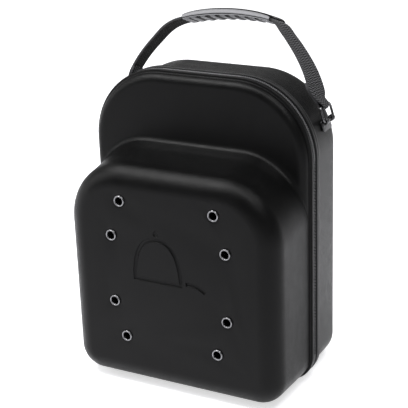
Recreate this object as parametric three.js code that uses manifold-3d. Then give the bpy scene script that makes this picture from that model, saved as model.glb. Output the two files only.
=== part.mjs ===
// Baseball cap carrier case: a moulded two-shell clamshell with a zip seam, vent eyelets and a
// carrying strap. Millimetres, +Z up, the front face towards -Y, the zip seam in the plane y = 0.

import * as THREE from "three";
import { mergeVertices } from "three/addons/utils/BufferGeometryUtils.js";
import Module from "manifold-3d";

const wasm = await Module();
wasm.setup();

// Case body
const CASE_WIDTH = 252.6;
const CASE_HEIGHT = 330;
const TOP_RADIUS = 82;
const BOTTOM_RADIUS = 32.6;
const WALL = 4;
const BOTTOM_STEP = 2.4;
const CASE_GAP = 0.3;

// Front shell: a shallow plateau all over, and a deep bulge over its lower part
const FRONT_STEP = 3;
const FRONT_RIM_WIDTH = 3.6;
const PLATEAU_DEPTH = 18;
const PLATEAU_FILLET = 8.6;
const BULGE_DEPTH = 86.6;
const PLATEAU_SHOW = 75;
const BULGE_TOP = CASE_HEIGHT - PLATEAU_SHOW;
const BULGE_TOP_RADIUS = 70;
const BULGE_TOP_SLOPE = 9.5;
const BULGE_DRAFT = 1.6;
const BULGE_FILLET = 21.6;

// Back shell
const BACK_STEP = 4;
const BACK_RIM_WIDTH = 7;
const BACK_DEPTH = 76.3;
const BACK_DRAFT = 1;
const BACK_FILLET = 21;

// Rounding of the rims that both shells carry along the seam, and the share of the step behind a rim
// that its outer edge takes
const RIM_ROUND = 0.7;
const RIM_SHOULDER = 0.3;

// Zip: the coil lies on two tapes between the rims, and a cloth strip hinges the left side
const SEAM_HALF = 4.6;
const TAPE_THICKNESS = 1;
const TAPE_INSET = 3;
const COIL_HALF = 2.8;
const COIL_INSET = 0.5;
const COIL_SHOULDER = 0.45;
const COIL_CREST = 0.6;
const TAPE_SPLIT = 0.15;
const HINGE_LOW = 80;
const HINGE_HIGH = 200;
const HINGE_THICKNESS = 1.2;
const HINGE_INSET = 1.6;

// Slider and pull, at the upper end of the zip on the hidden left side
const SLIDER_LENGTH = 12;
const SLIDER_HALF = 3.9;
const SLIDER_THICKNESS = 1.6;
const PULL_LENGTH = 26;
const PULL_WIDTH = 6;
const PULL_THICKNESS = 1.4;
const PULL_HANG = 0.7;

// Vent eyelets, in two mirrored columns bowed outwards at mid height: how far each row lies inside the
// case's side and below the bulge's top
const EYELET_OUTER = 6;
const EYELET_HOLE = 4.3;
const EYELET_BARREL = 4.9;
const EYELET_BEAD = 1.5;
const EYELET_CURL = 1.1;
const EYELET_ROWS = [
  { inside: 72.2, below: 44.7 },
  { inside: 60, below: 83.9 },
  { inside: 60, below: 158.3 },
  { inside: 72.2, below: 197.5 },
];

// The rolled bead of an eyelet, from its outer edge inwards: shares of its half width and height
const BEAD_PROFILE = [
  { inwards: 0.15, up: 0.5 },
  { inwards: 0.6, up: 1 },
  { inwards: 1.3, up: 1 },
  { inwards: 1.85, up: 0.5 },
];

// Debossed cap pictogram on the front face
const EMBLEM_WIDTH = 84;
const EMBLEM_HEIGHT = 46;
const EMBLEM_LINE = 3.4;
const EMBLEM_DEPTH = 1;
const EMBLEM_BELOW = 105;
const EMBLEM_CENTRE = BULGE_TOP - EMBLEM_BELOW;
const CROWN_RIGHT = 0.2;
const CROWN_HANDLES = {
  backOut: 0.95,
  backUp: 0.95,
  topBack: 0.35,
  topFront: 0.45,
  frontOut: 0.95,
  frontUp: 0.85,
};
const PEAK_HANDLES = { upperAcross: 0.38, upperUp: 0.3, lowerAcross: 0.42, lowerUp: 1.8, rootUp: 2 };
const BUTTON_RADIUS = 0.8;

// Strap: a webbing arch that leans back from its two end links
const STRAP_WIDTH = 30;
const STRAP_THICKNESS = 2;
const STRAP_END_WIDTH = 13;
const STRAP_DEPTH = 39.6;
const STRAP_LEAN = THREE.MathUtils.degToRad(20);
const STRAP_RISE = 86.9;
const STRAP_INSIDE = 9.3;
const STRAP_HALF_SPAN = CASE_WIDTH / 2 - STRAP_INSIDE;
const STRAP_FLARE = 0.002;
const STRAP_NARROWING = 18;
const STRAP_LAP = 26;
const STRAP_STEPS = 60;

// Side links and their anchors on the back shell
const LINK_WIRE = 1.4;
const LINK_WIDTH = 28;
const LINK_HEIGHT = 15;
const LINK_CORNER = 3;
const LINK_DEPTH = 46;
const LINK_SIDES = 8;
const LINK_GAP = 0.35;
const ANCHOR_BELOW = 56.5;
const ANCHOR_HEIGHT = CASE_HEIGHT - ANCHOR_BELOW;
const ANCHOR_LENGTH = 22;
const ANCHOR_PLATE_HEIGHT = 12;
const ANCHOR_PLATE = 1.6;
const KNUCKLE_LENGTH = 4.6;
const KNUCKLE_WALL = 1.8;
const KNUCKLE_SINK = 0.3;
const RIVET_RADIUS = 2.4;
const RIVET_RISE = 1.1;
const RIVET_EDGE = 3.4;

// Rubber grip on the strap
const GRIP_LENGTH = 107;
const GRIP_WIDTH = 34;
const GRIP_THICKNESS = 9.6;
const GRIP_END_THICKNESS = 6.6;
const GRIP_TAPER_POWER = 4;
const GRIP_GAP = 0.3;
const FINGER_NOTCHES = 9;
const NOTCH_DEPTH = 1.1;

// A quarter of the grip's section, from its side to its top: shares of its half width and thickness
const GRIP_QUARTER = [
  { across: 1, up: 0.35 },
  { across: 0.93, up: 0.8 },
  { across: 0.75, up: 1 },
];

// Sides of round stretches
const TOP_ARC_STEPS = 12;
const BOTTOM_ARC_STEPS = 6;
const FILLET_STEPS = 5;
const ROUND_SIDES = 12;
const RIVET_RINGS = 8;
const LINK_CORNER_STEPS = 4;
const NOTCH_STEPS = 4;
const EMBLEM_CURVE_STEPS = 8;

// How far a cutting body runs past what it cuts
const CUT_PAST = 4;

// The strap's centre line from the crown of the arch outwards and down to a link. Out is a share of
// the half span, up a share of the rise. The right-hand side stands a little higher beside the grip.
const STRAP_COURSE_RIGHT = [
  { out: 0.171, up: 1.002 },
  { out: 0.342, up: 0.985 },
  { out: 0.457, up: 0.959 },
  { out: 0.513, up: 0.925 },
  { out: 0.543, up: 0.890 },
  { out: 0.580, up: 0.835 },
  { out: 0.647, up: 0.743 },
  { out: 0.723, up: 0.628 },
  { out: 0.791, up: 0.513 },
  { out: 0.849, up: 0.398 },
  { out: 0.896, up: 0.283 },
  { out: 0.933, up: 0.168 },
  { out: 0.959, up: 0.087 },
  { out: 1, up: 0 },
];
const STRAP_COURSE_LEFT = [
  { out: 0.171, up: 0.979 },
  { out: 0.342, up: 0.938 },
  { out: 0.449, up: 0.896 },
  { out: 0.520, up: 0.863 },
  { out: 0.590, up: 0.812 },
  { out: 0.651, up: 0.743 },
  { out: 0.723, up: 0.628 },
  { out: 0.791, up: 0.513 },
  { out: 0.849, up: 0.398 },
  { out: 0.896, up: 0.283 },
  { out: 0.933, up: 0.168 },
  { out: 0.959, up: 0.087 },
  { out: 1, up: 0 },
];

const HALF_WIDTH = CASE_WIDTH / 2;

const FINISHES = {
  shell: { color: 0x232326, roughness: 0.7, metalness: 0 },
  coil: { color: 0x3a3a3d, roughness: 0.5, metalness: 0 },
  tape: { color: 0x17171a, roughness: 0.9, metalness: 0 },
  slider: { color: 0xa8a8ac, roughness: 0.35, metalness: 1 },
  eyelet: { color: 0x7c7c80, roughness: 0.3, metalness: 1 },
  strap: { color: 0x2c2c30, roughness: 0.85, metalness: 0 },
  grip: { color: 0x8d8d90, roughness: 0.5, metalness: 0 },
  link: { color: 0xa8a8ac, roughness: 0.25, metalness: 1 },
};

/** Makes a closed solid for joining and cutting from a closed geometry. */
function toSolid(geometry) {
  const bare = new THREE.BufferGeometry();
  bare.setAttribute("position", geometry.getAttribute("position").clone());
  bare.setIndex(geometry.getIndex());
  const merged = mergeVertices(bare, 1e-4);
  const corners = merged.getIndex().array;
  const triVerts = [];
  for (let i = 0; i < corners.length; i += 3) {
    const [a, b, c] = corners.slice(i, i + 3);
    if (a !== b && b !== c && c !== a) {
      triVerts.push(a, b, c);
    }
  }
  return new wasm.Manifold(new wasm.Mesh({
    numProp: 3,
    vertProperties: Float32Array.from(merged.getAttribute("position").array),
    triVerts: Uint32Array.from(triVerts),
  }));
}

/** Turns a solid back into a geometry. */
function toGeometry(solid) {
  const mesh = solid.getMesh();
  const geometry = new THREE.BufferGeometry();
  geometry.setAttribute("position", new THREE.BufferAttribute(Float32Array.from(mesh.vertProperties), 3));
  geometry.setIndex(new THREE.BufferAttribute(Uint32Array.from(mesh.triVerts), 1));
  return geometry;
}

/** Builds a geometry from rings of points with equal counts, closed at both ends or into a loop. */
function skin(rings, closed) {
  const count = rings[0].length;
  const positions = rings.flat().flatMap((point) => [point.x, point.y, point.z]);
  const index = [];
  const spans = closed ? rings.length : rings.length - 1;
  for (let i = 0; i < spans; i += 1) {
    const here = i * count;
    const next = ((i + 1) % rings.length) * count;
    for (let j = 0; j < count; j += 1) {
      const k = (j + 1) % count;
      index.push(here + j, here + k, next + k, here + j, next + k, next + j);
    }
  }
  if (!closed) {
    const last = (rings.length - 1) * count;
    for (let j = 1; j < count - 1; j += 1) {
      index.push(0, j + 1, j);
      index.push(last, last + j, last + j + 1);
    }
  }
  const geometry = new THREE.BufferGeometry();
  geometry.setAttribute("position", new THREE.Float32BufferAttribute(positions, 3));
  geometry.setIndex(index);
  return outwards(geometry);
}

/** Turns the faces of a closed geometry outwards where their signed volume is negative. */
function outwards(geometry) {
  const p = geometry.getAttribute("position");
  const index = geometry.getIndex();
  const [a, b, c] = [new THREE.Vector3(), new THREE.Vector3(), new THREE.Vector3()];
  let volume = 0;
  for (let i = 0; i < index.count; i += 3) {
    a.fromBufferAttribute(p, index.getX(i));
    b.fromBufferAttribute(p, index.getX(i + 1));
    c.fromBufferAttribute(p, index.getX(i + 2));
    volume += a.dot(b.cross(c));
  }
  if (volume < 0) {
    for (let i = 0; i < index.count; i += 3) {
      const second = index.getX(i + 1);
      index.setX(i + 1, index.getX(i + 2));
      index.setX(i + 2, second);
    }
  }
  return geometry;
}

/** The case outline as a size record: rounded rectangle, wider radii at the top than the bottom. */
function outline(sideInset, topInset, bottomInset) {
  return {
    half: HALF_WIDTH - sideInset,
    top: CASE_HEIGHT - topInset,
    bottom: bottomInset,
    topRadius: TOP_RADIUS - sideInset,
    bottomRadius: BOTTOM_RADIUS - sideInset,
  };
}

/** An outline drawn in by the same distance all round. */
function drawnIn(shape, distance) {
  return {
    half: shape.half - distance,
    top: shape.top - distance,
    bottom: shape.bottom + distance,
    topRadius: shape.topRadius - distance,
    bottomRadius: shape.bottomRadius - distance,
  };
}

/** The outline between two others, at a share from 0 to 1. */
function between(first, second, share) {
  const mixed = {};
  for (const key of Object.keys(first)) {
    mixed[key] = THREE.MathUtils.lerp(first[key], second[key], share);
  }
  return mixed;
}

/**
 * The points of an outline at a depth, each with its outward direction, counter-clockwise as seen
 * from the front, starting at the lower end of the left side.
 */
function outlinePoints(shape, y) {
  const quarter = Math.PI / 2;
  const corners = [
    { side: -1, up: 1, radius: shape.topRadius, from: 2 * quarter, steps: TOP_ARC_STEPS },
    { side: 1, up: 1, radius: shape.topRadius, from: quarter, steps: TOP_ARC_STEPS },
    { side: 1, up: -1, radius: shape.bottomRadius, from: 0, steps: BOTTOM_ARC_STEPS },
    { side: -1, up: -1, radius: shape.bottomRadius, from: -quarter, steps: BOTTOM_ARC_STEPS },
  ];
  const points = [];
  for (const corner of corners) {
    const centreX = corner.side * (shape.half - corner.radius);
    const edgeZ = corner.up > 0 ? shape.top : shape.bottom;
    const centreZ = edgeZ - corner.up * corner.radius;
    for (let i = 0; i <= corner.steps; i += 1) {
      const angle = corner.from - (i / corner.steps) * quarter;
      const normal = new THREE.Vector3(Math.cos(angle), 0, Math.sin(angle));
      const point = new THREE.Vector3(
        centreX + corner.radius * normal.x,
        y,
        centreZ + corner.radius * normal.z,
      );
      points.push({ point, normal });
    }
  }
  return points;
}

/** A closed body lofted through sections, each an outline with its depth. */
function loft(sections) {
  return skin(sections.map((s) => outlinePoints(s.shape, s.y).map((entry) => entry.point)), false);
}

/** Sections of a quarter-round edge that runs from an outline in to a face at a depth. */
function filletSections(shape, faceY, radius) {
  const side = Math.sign(faceY);
  const sections = [];
  for (let i = 0; i <= FILLET_STEPS; i += 1) {
    const angle = (i / FILLET_STEPS) * (Math.PI / 2);
    sections.push({
      shape: drawnIn(shape, radius * (1 - Math.cos(angle))),
      y: faceY - side * radius * (1 - Math.sin(angle)),
    });
  }
  return sections;
}

/** Sections of a rim along the seam, stepping down to the shell's wall behind it. */
function rimSections(side, width, wallShape) {
  const rim = outline(0, 0, 0);
  const start = side * SEAM_HALF;
  const end = side * (SEAM_HALF + width);
  return [
    { shape: drawnIn(rim, RIM_ROUND), y: start },
    { shape: rim, y: start + side * RIM_ROUND },
    { shape: rim, y: end - side * RIM_ROUND },
    { shape: between(rim, wallShape, RIM_SHOULDER), y: end },
    { shape: wallShape, y: end + side * RIM_ROUND },
  ];
}

/** The bulge's outline at a depth, growing smaller towards the front as its draft says. */
function bulgeOutline(depth) {
  const fromRoot = (depth - PLATEAU_DEPTH) / (BULGE_DEPTH - BULGE_FILLET - PLATEAU_DEPTH);
  const shape = outline(FRONT_STEP + BULGE_DRAFT * Math.max(fromRoot, 0), 0, BOTTOM_STEP);
  shape.top = BULGE_TOP - BULGE_TOP_SLOPE * fromRoot;
  shape.topRadius = BULGE_TOP_RADIUS - (BULGE_DRAFT + FRONT_STEP) * fromRoot;
  return shape;
}

/** The bulge as a body, or drawn in by a wall as the hollow inside it. */
function bulgeBody(wall) {
  const start = SEAM_HALF + FRONT_RIM_WIDTH + RIM_ROUND;
  const filletStart = BULGE_DEPTH - BULGE_FILLET;
  return loft([
    { shape: drawnIn(bulgeOutline(start), wall), y: -start },
    { shape: drawnIn(bulgeOutline(PLATEAU_DEPTH), wall), y: -PLATEAU_DEPTH },
    ...filletSections(drawnIn(bulgeOutline(filletStart), wall), wall - BULGE_DEPTH, BULGE_FILLET - wall),
  ]);
}

/** The eight places of the vent eyelets on the front face. */
function eyeletPlaces() {
  const places = [];
  for (const side of [-1, 1]) {
    for (const row of EYELET_ROWS) {
      places.push(new THREE.Vector3(side * (HALF_WIDTH - row.inside), -BULGE_DEPTH, BULGE_TOP - row.below));
    }
  }
  return places;
}

/** The crown of the cap pictogram as a closed shape, drawn in by an inset. */
function crownShape(inset) {
  const left = -EMBLEM_WIDTH / 2;
  const right = EMBLEM_WIDTH * CROWN_RIGHT;
  const middle = (left + right) / 2;
  const reach = (right - left) / 2 - inset;
  const rise = EMBLEM_HEIGHT - inset;
  const shape = new THREE.Shape();
  shape.moveTo(middle - reach, inset);
  shape.bezierCurveTo(
    middle - reach * CROWN_HANDLES.backOut,
    rise * CROWN_HANDLES.backUp,
    middle - reach * CROWN_HANDLES.topBack,
    rise,
    middle,
    rise,
  );
  shape.bezierCurveTo(
    middle + reach * CROWN_HANDLES.topFront,
    rise,
    middle + reach * CROWN_HANDLES.frontOut,
    rise * CROWN_HANDLES.frontUp,
    middle + reach,
    inset,
  );
  return shape;
}

/** The peak of the cap pictogram. */
function peakShape() {
  const root = EMBLEM_WIDTH * CROWN_RIGHT + EMBLEM_LINE / 2;
  const shape = new THREE.Shape();
  shape.moveTo(root, 0);
  shape.quadraticCurveTo(
    EMBLEM_WIDTH * PEAK_HANDLES.upperAcross,
    EMBLEM_LINE * PEAK_HANDLES.upperUp,
    EMBLEM_WIDTH / 2,
    -EMBLEM_LINE,
  );
  shape.quadraticCurveTo(
    EMBLEM_WIDTH * PEAK_HANDLES.lowerAcross,
    EMBLEM_LINE * PEAK_HANDLES.lowerUp,
    root,
    EMBLEM_LINE * PEAK_HANDLES.rootUp,
  );
  return shape;
}

/** The button on top of the cap pictogram. */
function buttonShape() {
  const middle = EMBLEM_WIDTH * (CROWN_RIGHT - 0.5) / 2;
  const shape = new THREE.Shape();
  shape.absarc(middle, EMBLEM_HEIGHT + EMBLEM_LINE, EMBLEM_LINE * BUTTON_RADIUS, 0, Math.PI * 2);
  return shape;
}

/** A flat shape as a block standing in the front face, to a share of the deboss depth. */
function faceBlock(shape, share) {
  const depth = EMBLEM_DEPTH * share;
  const settings = { depth: 2 * depth, bevelEnabled: false, curveSegments: EMBLEM_CURVE_STEPS };
  const geometry = new THREE.ExtrudeGeometry(shape, settings);
  geometry.rotateX(Math.PI / 2);
  geometry.translate(0, depth - BULGE_DEPTH, EMBLEM_CENTRE - EMBLEM_HEIGHT / 2);
  return toSolid(geometry);
}

/** The pictogram's grooves, standing in the front face. */
function emblemCutters() {
  return [
    faceBlock(crownShape(0), 1).subtract(faceBlock(crownShape(EMBLEM_LINE), 2)),
    faceBlock(peakShape(), 1),
    faceBlock(buttonShape(), 1),
  ];
}

/** A plain cylinder as a solid, along Y. */
function cylinderAlongY(radius, length) {
  return toSolid(new THREE.CylinderGeometry(radius, radius, length, ROUND_SIDES));
}

/** The front shell: plateau and bulge in one moulding, hollow from the seam side. */
function frontShell() {
  const wallShape = outline(FRONT_STEP, FRONT_STEP, BOTTOM_STEP);
  const plateau = toSolid(loft([
    ...rimSections(-1, FRONT_RIM_WIDTH, wallShape),
    ...filletSections(wallShape, -PLATEAU_DEPTH, PLATEAU_FILLET),
  ]));
  const hollow = toSolid(loft([
    { shape: drawnIn(wallShape, WALL), y: 0 },
    ...filletSections(drawnIn(wallShape, WALL), WALL - PLATEAU_DEPTH, PLATEAU_FILLET - WALL),
  ]));
  let shell = plateau.add(toSolid(bulgeBody(0))).subtract(hollow).subtract(toSolid(bulgeBody(WALL)));
  for (const place of eyeletPlaces()) {
    const hole = cylinderAlongY(EYELET_BARREL + CASE_GAP, 2 * (WALL + CUT_PAST));
    shell = shell.subtract(hole.translate([place.x, place.y, place.z]));
  }
  for (const cutter of emblemCutters()) {
    shell = shell.subtract(cutter);
  }
  return toGeometry(shell);
}

/** The back shell: one deep tray, hollow from the seam side. */
function backShell() {
  const wallShape = outline(BACK_STEP, BACK_STEP, BOTTOM_STEP);
  const farShape = outline(BACK_STEP + BACK_DRAFT, BACK_STEP + BACK_DRAFT, BOTTOM_STEP);
  const body = toSolid(loft([
    ...rimSections(1, BACK_RIM_WIDTH, wallShape),
    ...filletSections(farShape, BACK_DEPTH, BACK_FILLET),
  ]));
  const hollow = toSolid(loft([
    { shape: drawnIn(wallShape, WALL), y: 0 },
    { shape: drawnIn(wallShape, WALL), y: SEAM_HALF + BACK_RIM_WIDTH },
    ...filletSections(drawnIn(farShape, WALL), BACK_DEPTH - WALL, BACK_FILLET - WALL),
  ]));
  return toGeometry(body.subtract(hollow));
}

/** The seam's path round the case from one height on the left side to another, the long way. */
function seamPath(fromHeight, toHeight) {
  const all = outlinePoints(outline(0, 0, 0), 0);
  const left = new THREE.Vector3(-1, 0, 0);
  const start = { point: new THREE.Vector3(-HALF_WIDTH, 0, fromHeight), normal: left };
  const end = { point: new THREE.Vector3(-HALF_WIDTH, 0, toHeight), normal: left };
  return [start, ...all, end];
}

/** A strip that follows a path on the seam, with its section as [inset, y] corners. */
function seamStrip(path, section) {
  const rings = path.map(({ point, normal }) => section.map(([inset, y]) => (
    new THREE.Vector3(point.x - normal.x * inset, y, point.z - normal.z * inset)
  )));
  return skin(rings, false);
}

/** One zip tape, on the front (-1) or back (1) side of the seam. */
function zipTape(side) {
  const outer = SEAM_HALF - CASE_GAP;
  return seamStrip(seamPath(HINGE_HIGH, HINGE_LOW), [
    [TAPE_INSET, side * TAPE_SPLIT],
    [TAPE_INSET, side * outer],
    [TAPE_INSET + TAPE_THICKNESS, side * outer],
    [TAPE_INSET + TAPE_THICKNESS, side * TAPE_SPLIT],
  ]);
}

/** The coil of the closed zip: a low ridge with rounded shoulders. */
function zipCoil() {
  const foot = TAPE_INSET - CASE_GAP;
  const shoulder = THREE.MathUtils.lerp(COIL_INSET, foot, COIL_SHOULDER);
  return seamStrip(seamPath(HINGE_HIGH, HINGE_LOW), [
    [foot, -COIL_HALF],
    [shoulder, -COIL_HALF],
    [COIL_INSET, -COIL_HALF * COIL_CREST],
    [COIL_INSET, COIL_HALF * COIL_CREST],
    [shoulder, COIL_HALF],
    [foot, COIL_HALF],
  ]);
}

/** The cloth strip that joins the two shells on the left side, where the zip does not run. */
function hingeStrip() {
  const half = SEAM_HALF - CASE_GAP;
  const height = HINGE_HIGH - HINGE_LOW - 2 * CASE_GAP;
  const strip = new THREE.BoxGeometry(HINGE_THICKNESS, 2 * half, height);
  strip.translate(HINGE_INSET + HINGE_THICKNESS / 2 - HALF_WIDTH, 0, (HINGE_HIGH + HINGE_LOW) / 2);
  return strip;
}

/** The zip slider with its pull hanging down, one plain piece over the coil. */
function zipSlider() {
  const inner = -HALF_WIDTH + COIL_INSET - CASE_GAP;
  const bottom = HINGE_HIGH + CASE_GAP;
  const bridge = new THREE.BoxGeometry(SLIDER_THICKNESS, 2 * SLIDER_HALF, SLIDER_LENGTH);
  bridge.translate(inner - SLIDER_THICKNESS / 2, 0, bottom + SLIDER_LENGTH / 2);
  const pull = new THREE.BoxGeometry(PULL_THICKNESS, PULL_WIDTH, PULL_LENGTH);
  pull.translate(
    inner - SLIDER_THICKNESS - PULL_THICKNESS / 2 + CASE_GAP,
    0,
    bottom + SLIDER_LENGTH * PULL_HANG - PULL_LENGTH / 2,
  );
  return toGeometry(toSolid(bridge).add(toSolid(pull)));
}

/** One vent eyelet: a rolled bead outside, a barrel through the wall and a curl inside. */
function eyelet() {
  const face = CASE_GAP;
  const back = -WALL - CASE_GAP;
  const beadHalf = (EYELET_OUTER - EYELET_HOLE) / 2;
  const profile = [
    [EYELET_HOLE, back - EYELET_CURL],
    [EYELET_OUTER, back - EYELET_CURL],
    [EYELET_OUTER, back],
    [EYELET_BARREL, back],
    [EYELET_BARREL, face],
    [EYELET_OUTER, face],
    ...BEAD_PROFILE.map((entry) => [
      EYELET_OUTER - beadHalf * entry.inwards,
      face + EYELET_BEAD * entry.up,
    ]),
    [EYELET_HOLE, face],
  ].map(([radius, height]) => new THREE.Vector2(radius, height));
  profile.push(profile[0].clone());
  const geometry = new THREE.LatheGeometry(profile, ROUND_SIDES);
  geometry.rotateX(Math.PI);
  return toGeometry(toSolid(geometry));
}

/** Height of the side link's upper bar, and its distance from the middle plane. */
function linkPlace() {
  const centreAcross = HALF_WIDTH - TOP_RADIUS;
  const centreHeight = CASE_HEIGHT - TOP_RADIUS;
  const wallRadius = TOP_RADIUS - BACK_STEP;
  const tilt = Math.asin((ANCHOR_HEIGHT - centreHeight) / wallRadius);
  const normal = new THREE.Vector3(Math.cos(tilt), 0, Math.sin(tilt));
  const wall = new THREE.Vector3(centreAcross + wallRadius * normal.x, LINK_DEPTH, ANCHOR_HEIGHT);
  const standOff = CASE_GAP + ANCHOR_PLATE - KNUCKLE_SINK + KNUCKLE_WALL + LINK_GAP + LINK_WIRE;
  const along = new THREE.Vector3(-normal.z, 0, normal.x);
  const lowerBar = wall.clone()
    .addScaledVector(normal, standOff)
    .addScaledVector(along, ANCHOR_PLATE_HEIGHT / 2 - LINK_WIRE);
  const upperBar = new THREE.Vector3(
    STRAP_HALF_SPAN,
    LINK_DEPTH,
    lowerBar.z + Math.sqrt(LINK_HEIGHT ** 2 - (STRAP_HALF_SPAN - lowerBar.x) ** 2),
  );
  return { tilt, normal, wall, lowerBar, upperBar };
}

/** A point of the strap: across, along its width from front to back, and up the leaning arch. */
function strapPoint(across, widthwise, up) {
  const { upperBar } = linkPlace();
  const share = THREE.MathUtils.smoothstep(up, 0, STRAP_NARROWING);
  const turned = STRAP_LEAN * share;
  const w = widthwise * THREE.MathUtils.lerp(STRAP_END_WIDTH / STRAP_WIDTH, 1, share);
  const eyeDepth = LINK_DEPTH + (STRAP_END_WIDTH - LINK_WIDTH) / 2 + LINK_WIRE + LINK_CORNER + LINK_GAP;
  return new THREE.Vector3(
    across * (1 + STRAP_FLARE * w * share),
    THREE.MathUtils.lerp(eyeDepth, STRAP_DEPTH, share) + up * Math.sin(STRAP_LEAN) + w * Math.cos(turned),
    upperBar.z + up * Math.cos(STRAP_LEAN) - w * Math.sin(turned),
  );
}

/** The strap's centre line in its own leaning plane, from the left link to the right one. */
function strapCourse() {
  const place = (entry, side) => (
    new THREE.Vector3(side * entry.out * STRAP_HALF_SPAN, entry.up * STRAP_RISE, 0)
  );
  const left = STRAP_COURSE_LEFT.map((entry) => place(entry, -1)).reverse();
  const right = STRAP_COURSE_RIGHT.map((entry) => place(entry, 1));
  const crown = new THREE.Vector3(0, STRAP_RISE, 0);
  return new THREE.CatmullRomCurve3([...left, crown, ...right], false, "centripetal");
}

/** A band along the strap's course between two shares of it, as a flat shape. */
function courseBand(from, to, steps, above, below) {
  const course = strapCourse();
  const upper = [];
  const lower = [];
  for (let i = 0; i <= steps; i += 1) {
    const share = THREE.MathUtils.lerp(from, to, i / steps);
    const point = course.getPointAt(share);
    const tangent = course.getTangentAt(share);
    const normal = new THREE.Vector2(-tangent.y, tangent.x);
    upper.push(new THREE.Vector2(point.x, point.y).addScaledVector(normal, above(share)));
    lower.push(new THREE.Vector2(point.x, point.y).addScaledVector(normal, -below(share)));
  }
  return new THREE.Shape([...upper, ...lower.reverse()]);
}

/** Moves a solid onto the leaning arch: its z runs from the strap's back edge to its front edge. */
function ontoArch(solid) {
  return solid.warp((vertex) => {
    const placed = strapPoint(vertex[0], -vertex[2], vertex[1]);
    vertex[0] = placed.x;
    vertex[1] = placed.y;
    vertex[2] = placed.z;
  });
}

/** A flat shape extruded evenly to both sides of the strap's middle plane. */
function extrudedAcross(shape, width) {
  const geometry = new THREE.ExtrudeGeometry(shape, { depth: width, bevelEnabled: false });
  geometry.translate(0, 0, -width / 2);
  return toSolid(geometry);
}

/** A round bar across the strap at one of its link bars. */
function barAcross(side, radius, width) {
  const bar = new THREE.CylinderGeometry(radius, radius, width, ROUND_SIDES);
  bar.rotateX(Math.PI / 2);
  bar.translate(side * STRAP_HALF_SPAN, 0, 0);
  return toSolid(bar);
}

/** The strap: one length of webbing, its ends folded round the link bars and sewn back. */
function strap() {
  const half = STRAP_THICKNESS / 2;
  const length = strapCourse().getLength();
  const lapShare = STRAP_LAP / length;
  const eye = LINK_WIRE + LINK_GAP;
  const below = (share) => (Math.min(share, 1 - share) < lapShare ? half + STRAP_THICKNESS : half);
  let solid = extrudedAcross(courseBand(0, 1, STRAP_STEPS, () => half, below), STRAP_WIDTH);
  for (const side of [-1, 1]) {
    solid = solid.add(barAcross(side, eye + STRAP_THICKNESS, STRAP_WIDTH));
    solid = solid.subtract(barAcross(side, eye, STRAP_WIDTH + 2 * CUT_PAST));
  }
  return toGeometry(ontoArch(solid));
}

/** Share of the course at a distance from its middle, along the webbing. */
function courseShare(distance) {
  return 0.5 + distance / strapCourse().getLength();
}

/** The rubber grip: a tapered sleeve with finger notches beneath, slotted for the webbing. */
function grip() {
  const from = courseShare(-GRIP_LENGTH / 2);
  const to = courseShare(GRIP_LENGTH / 2);
  const steps = FINGER_NOTCHES * NOTCH_STEPS;
  const swell = (share) => {
    const offset = (share - 0.5) / (to - 0.5);
    return THREE.MathUtils.lerp(GRIP_THICKNESS, GRIP_END_THICKNESS, offset ** GRIP_TAPER_POWER) / 2;
  };
  const notch = (share) => {
    const turns = ((share - from) / (to - from)) * FINGER_NOTCHES;
    return NOTCH_DEPTH * (0.5 - 0.5 * Math.cos(turns * 2 * Math.PI));
  };
  const course = strapCourse();
  const rings = [];
  for (let i = 0; i <= steps; i += 1) {
    const share = THREE.MathUtils.lerp(from, to, i / steps);
    const point = course.getPointAt(share);
    const tangent = course.getTangentAt(share);
    const above = swell(share);
    const below = swell(share) - notch(share);
    const quarter = GRIP_QUARTER.map((entry) => [entry.across * GRIP_WIDTH / 2, entry.up]);
    const turned = [...quarter].reverse();
    const section = [
      ...quarter.map(([w, up]) => [-w, up * above]),
      ...turned.map(([w, up]) => [w, up * above]),
      ...quarter.map(([w, up]) => [w, -up * below]),
      ...turned.map(([w, up]) => [-w, -up * below]),
    ];
    rings.push(section.map(([w, up]) => (
      new THREE.Vector3(point.x - tangent.y * up, point.y + tangent.x * up, -w)
    )));
  }
  const slotHalf = STRAP_THICKNESS / 2 + GRIP_GAP;
  const slotReach = GRIP_LENGTH / 2 + CUT_PAST;
  const slot = extrudedAcross(
    courseBand(courseShare(-slotReach), courseShare(slotReach), steps, () => slotHalf, () => slotHalf),
    STRAP_WIDTH + 2 * GRIP_GAP,
  );
  return toGeometry(ontoArch(toSolid(skin(rings, false)).subtract(slot)));
}

/** The rounded-rectangle path of a link, flat, with its inward directions. */
function linkLoop() {
  const across = LINK_WIDTH / 2 - LINK_WIRE - LINK_CORNER;
  const up = LINK_HEIGHT / 2 - LINK_CORNER;
  const corners = [[1, 1], [-1, 1], [-1, -1], [1, -1]];
  const entries = [];
  corners.forEach(([sx, sy], quarter) => {
    for (let i = 0; i <= LINK_CORNER_STEPS; i += 1) {
      const angle = (quarter + i / LINK_CORNER_STEPS) * (Math.PI / 2);
      const normal = new THREE.Vector2(Math.cos(angle), Math.sin(angle));
      entries.push({
        point: new THREE.Vector2(sx * across, sy * up).addScaledVector(normal, LINK_CORNER),
        normal,
      });
    }
  });
  return entries;
}

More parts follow.
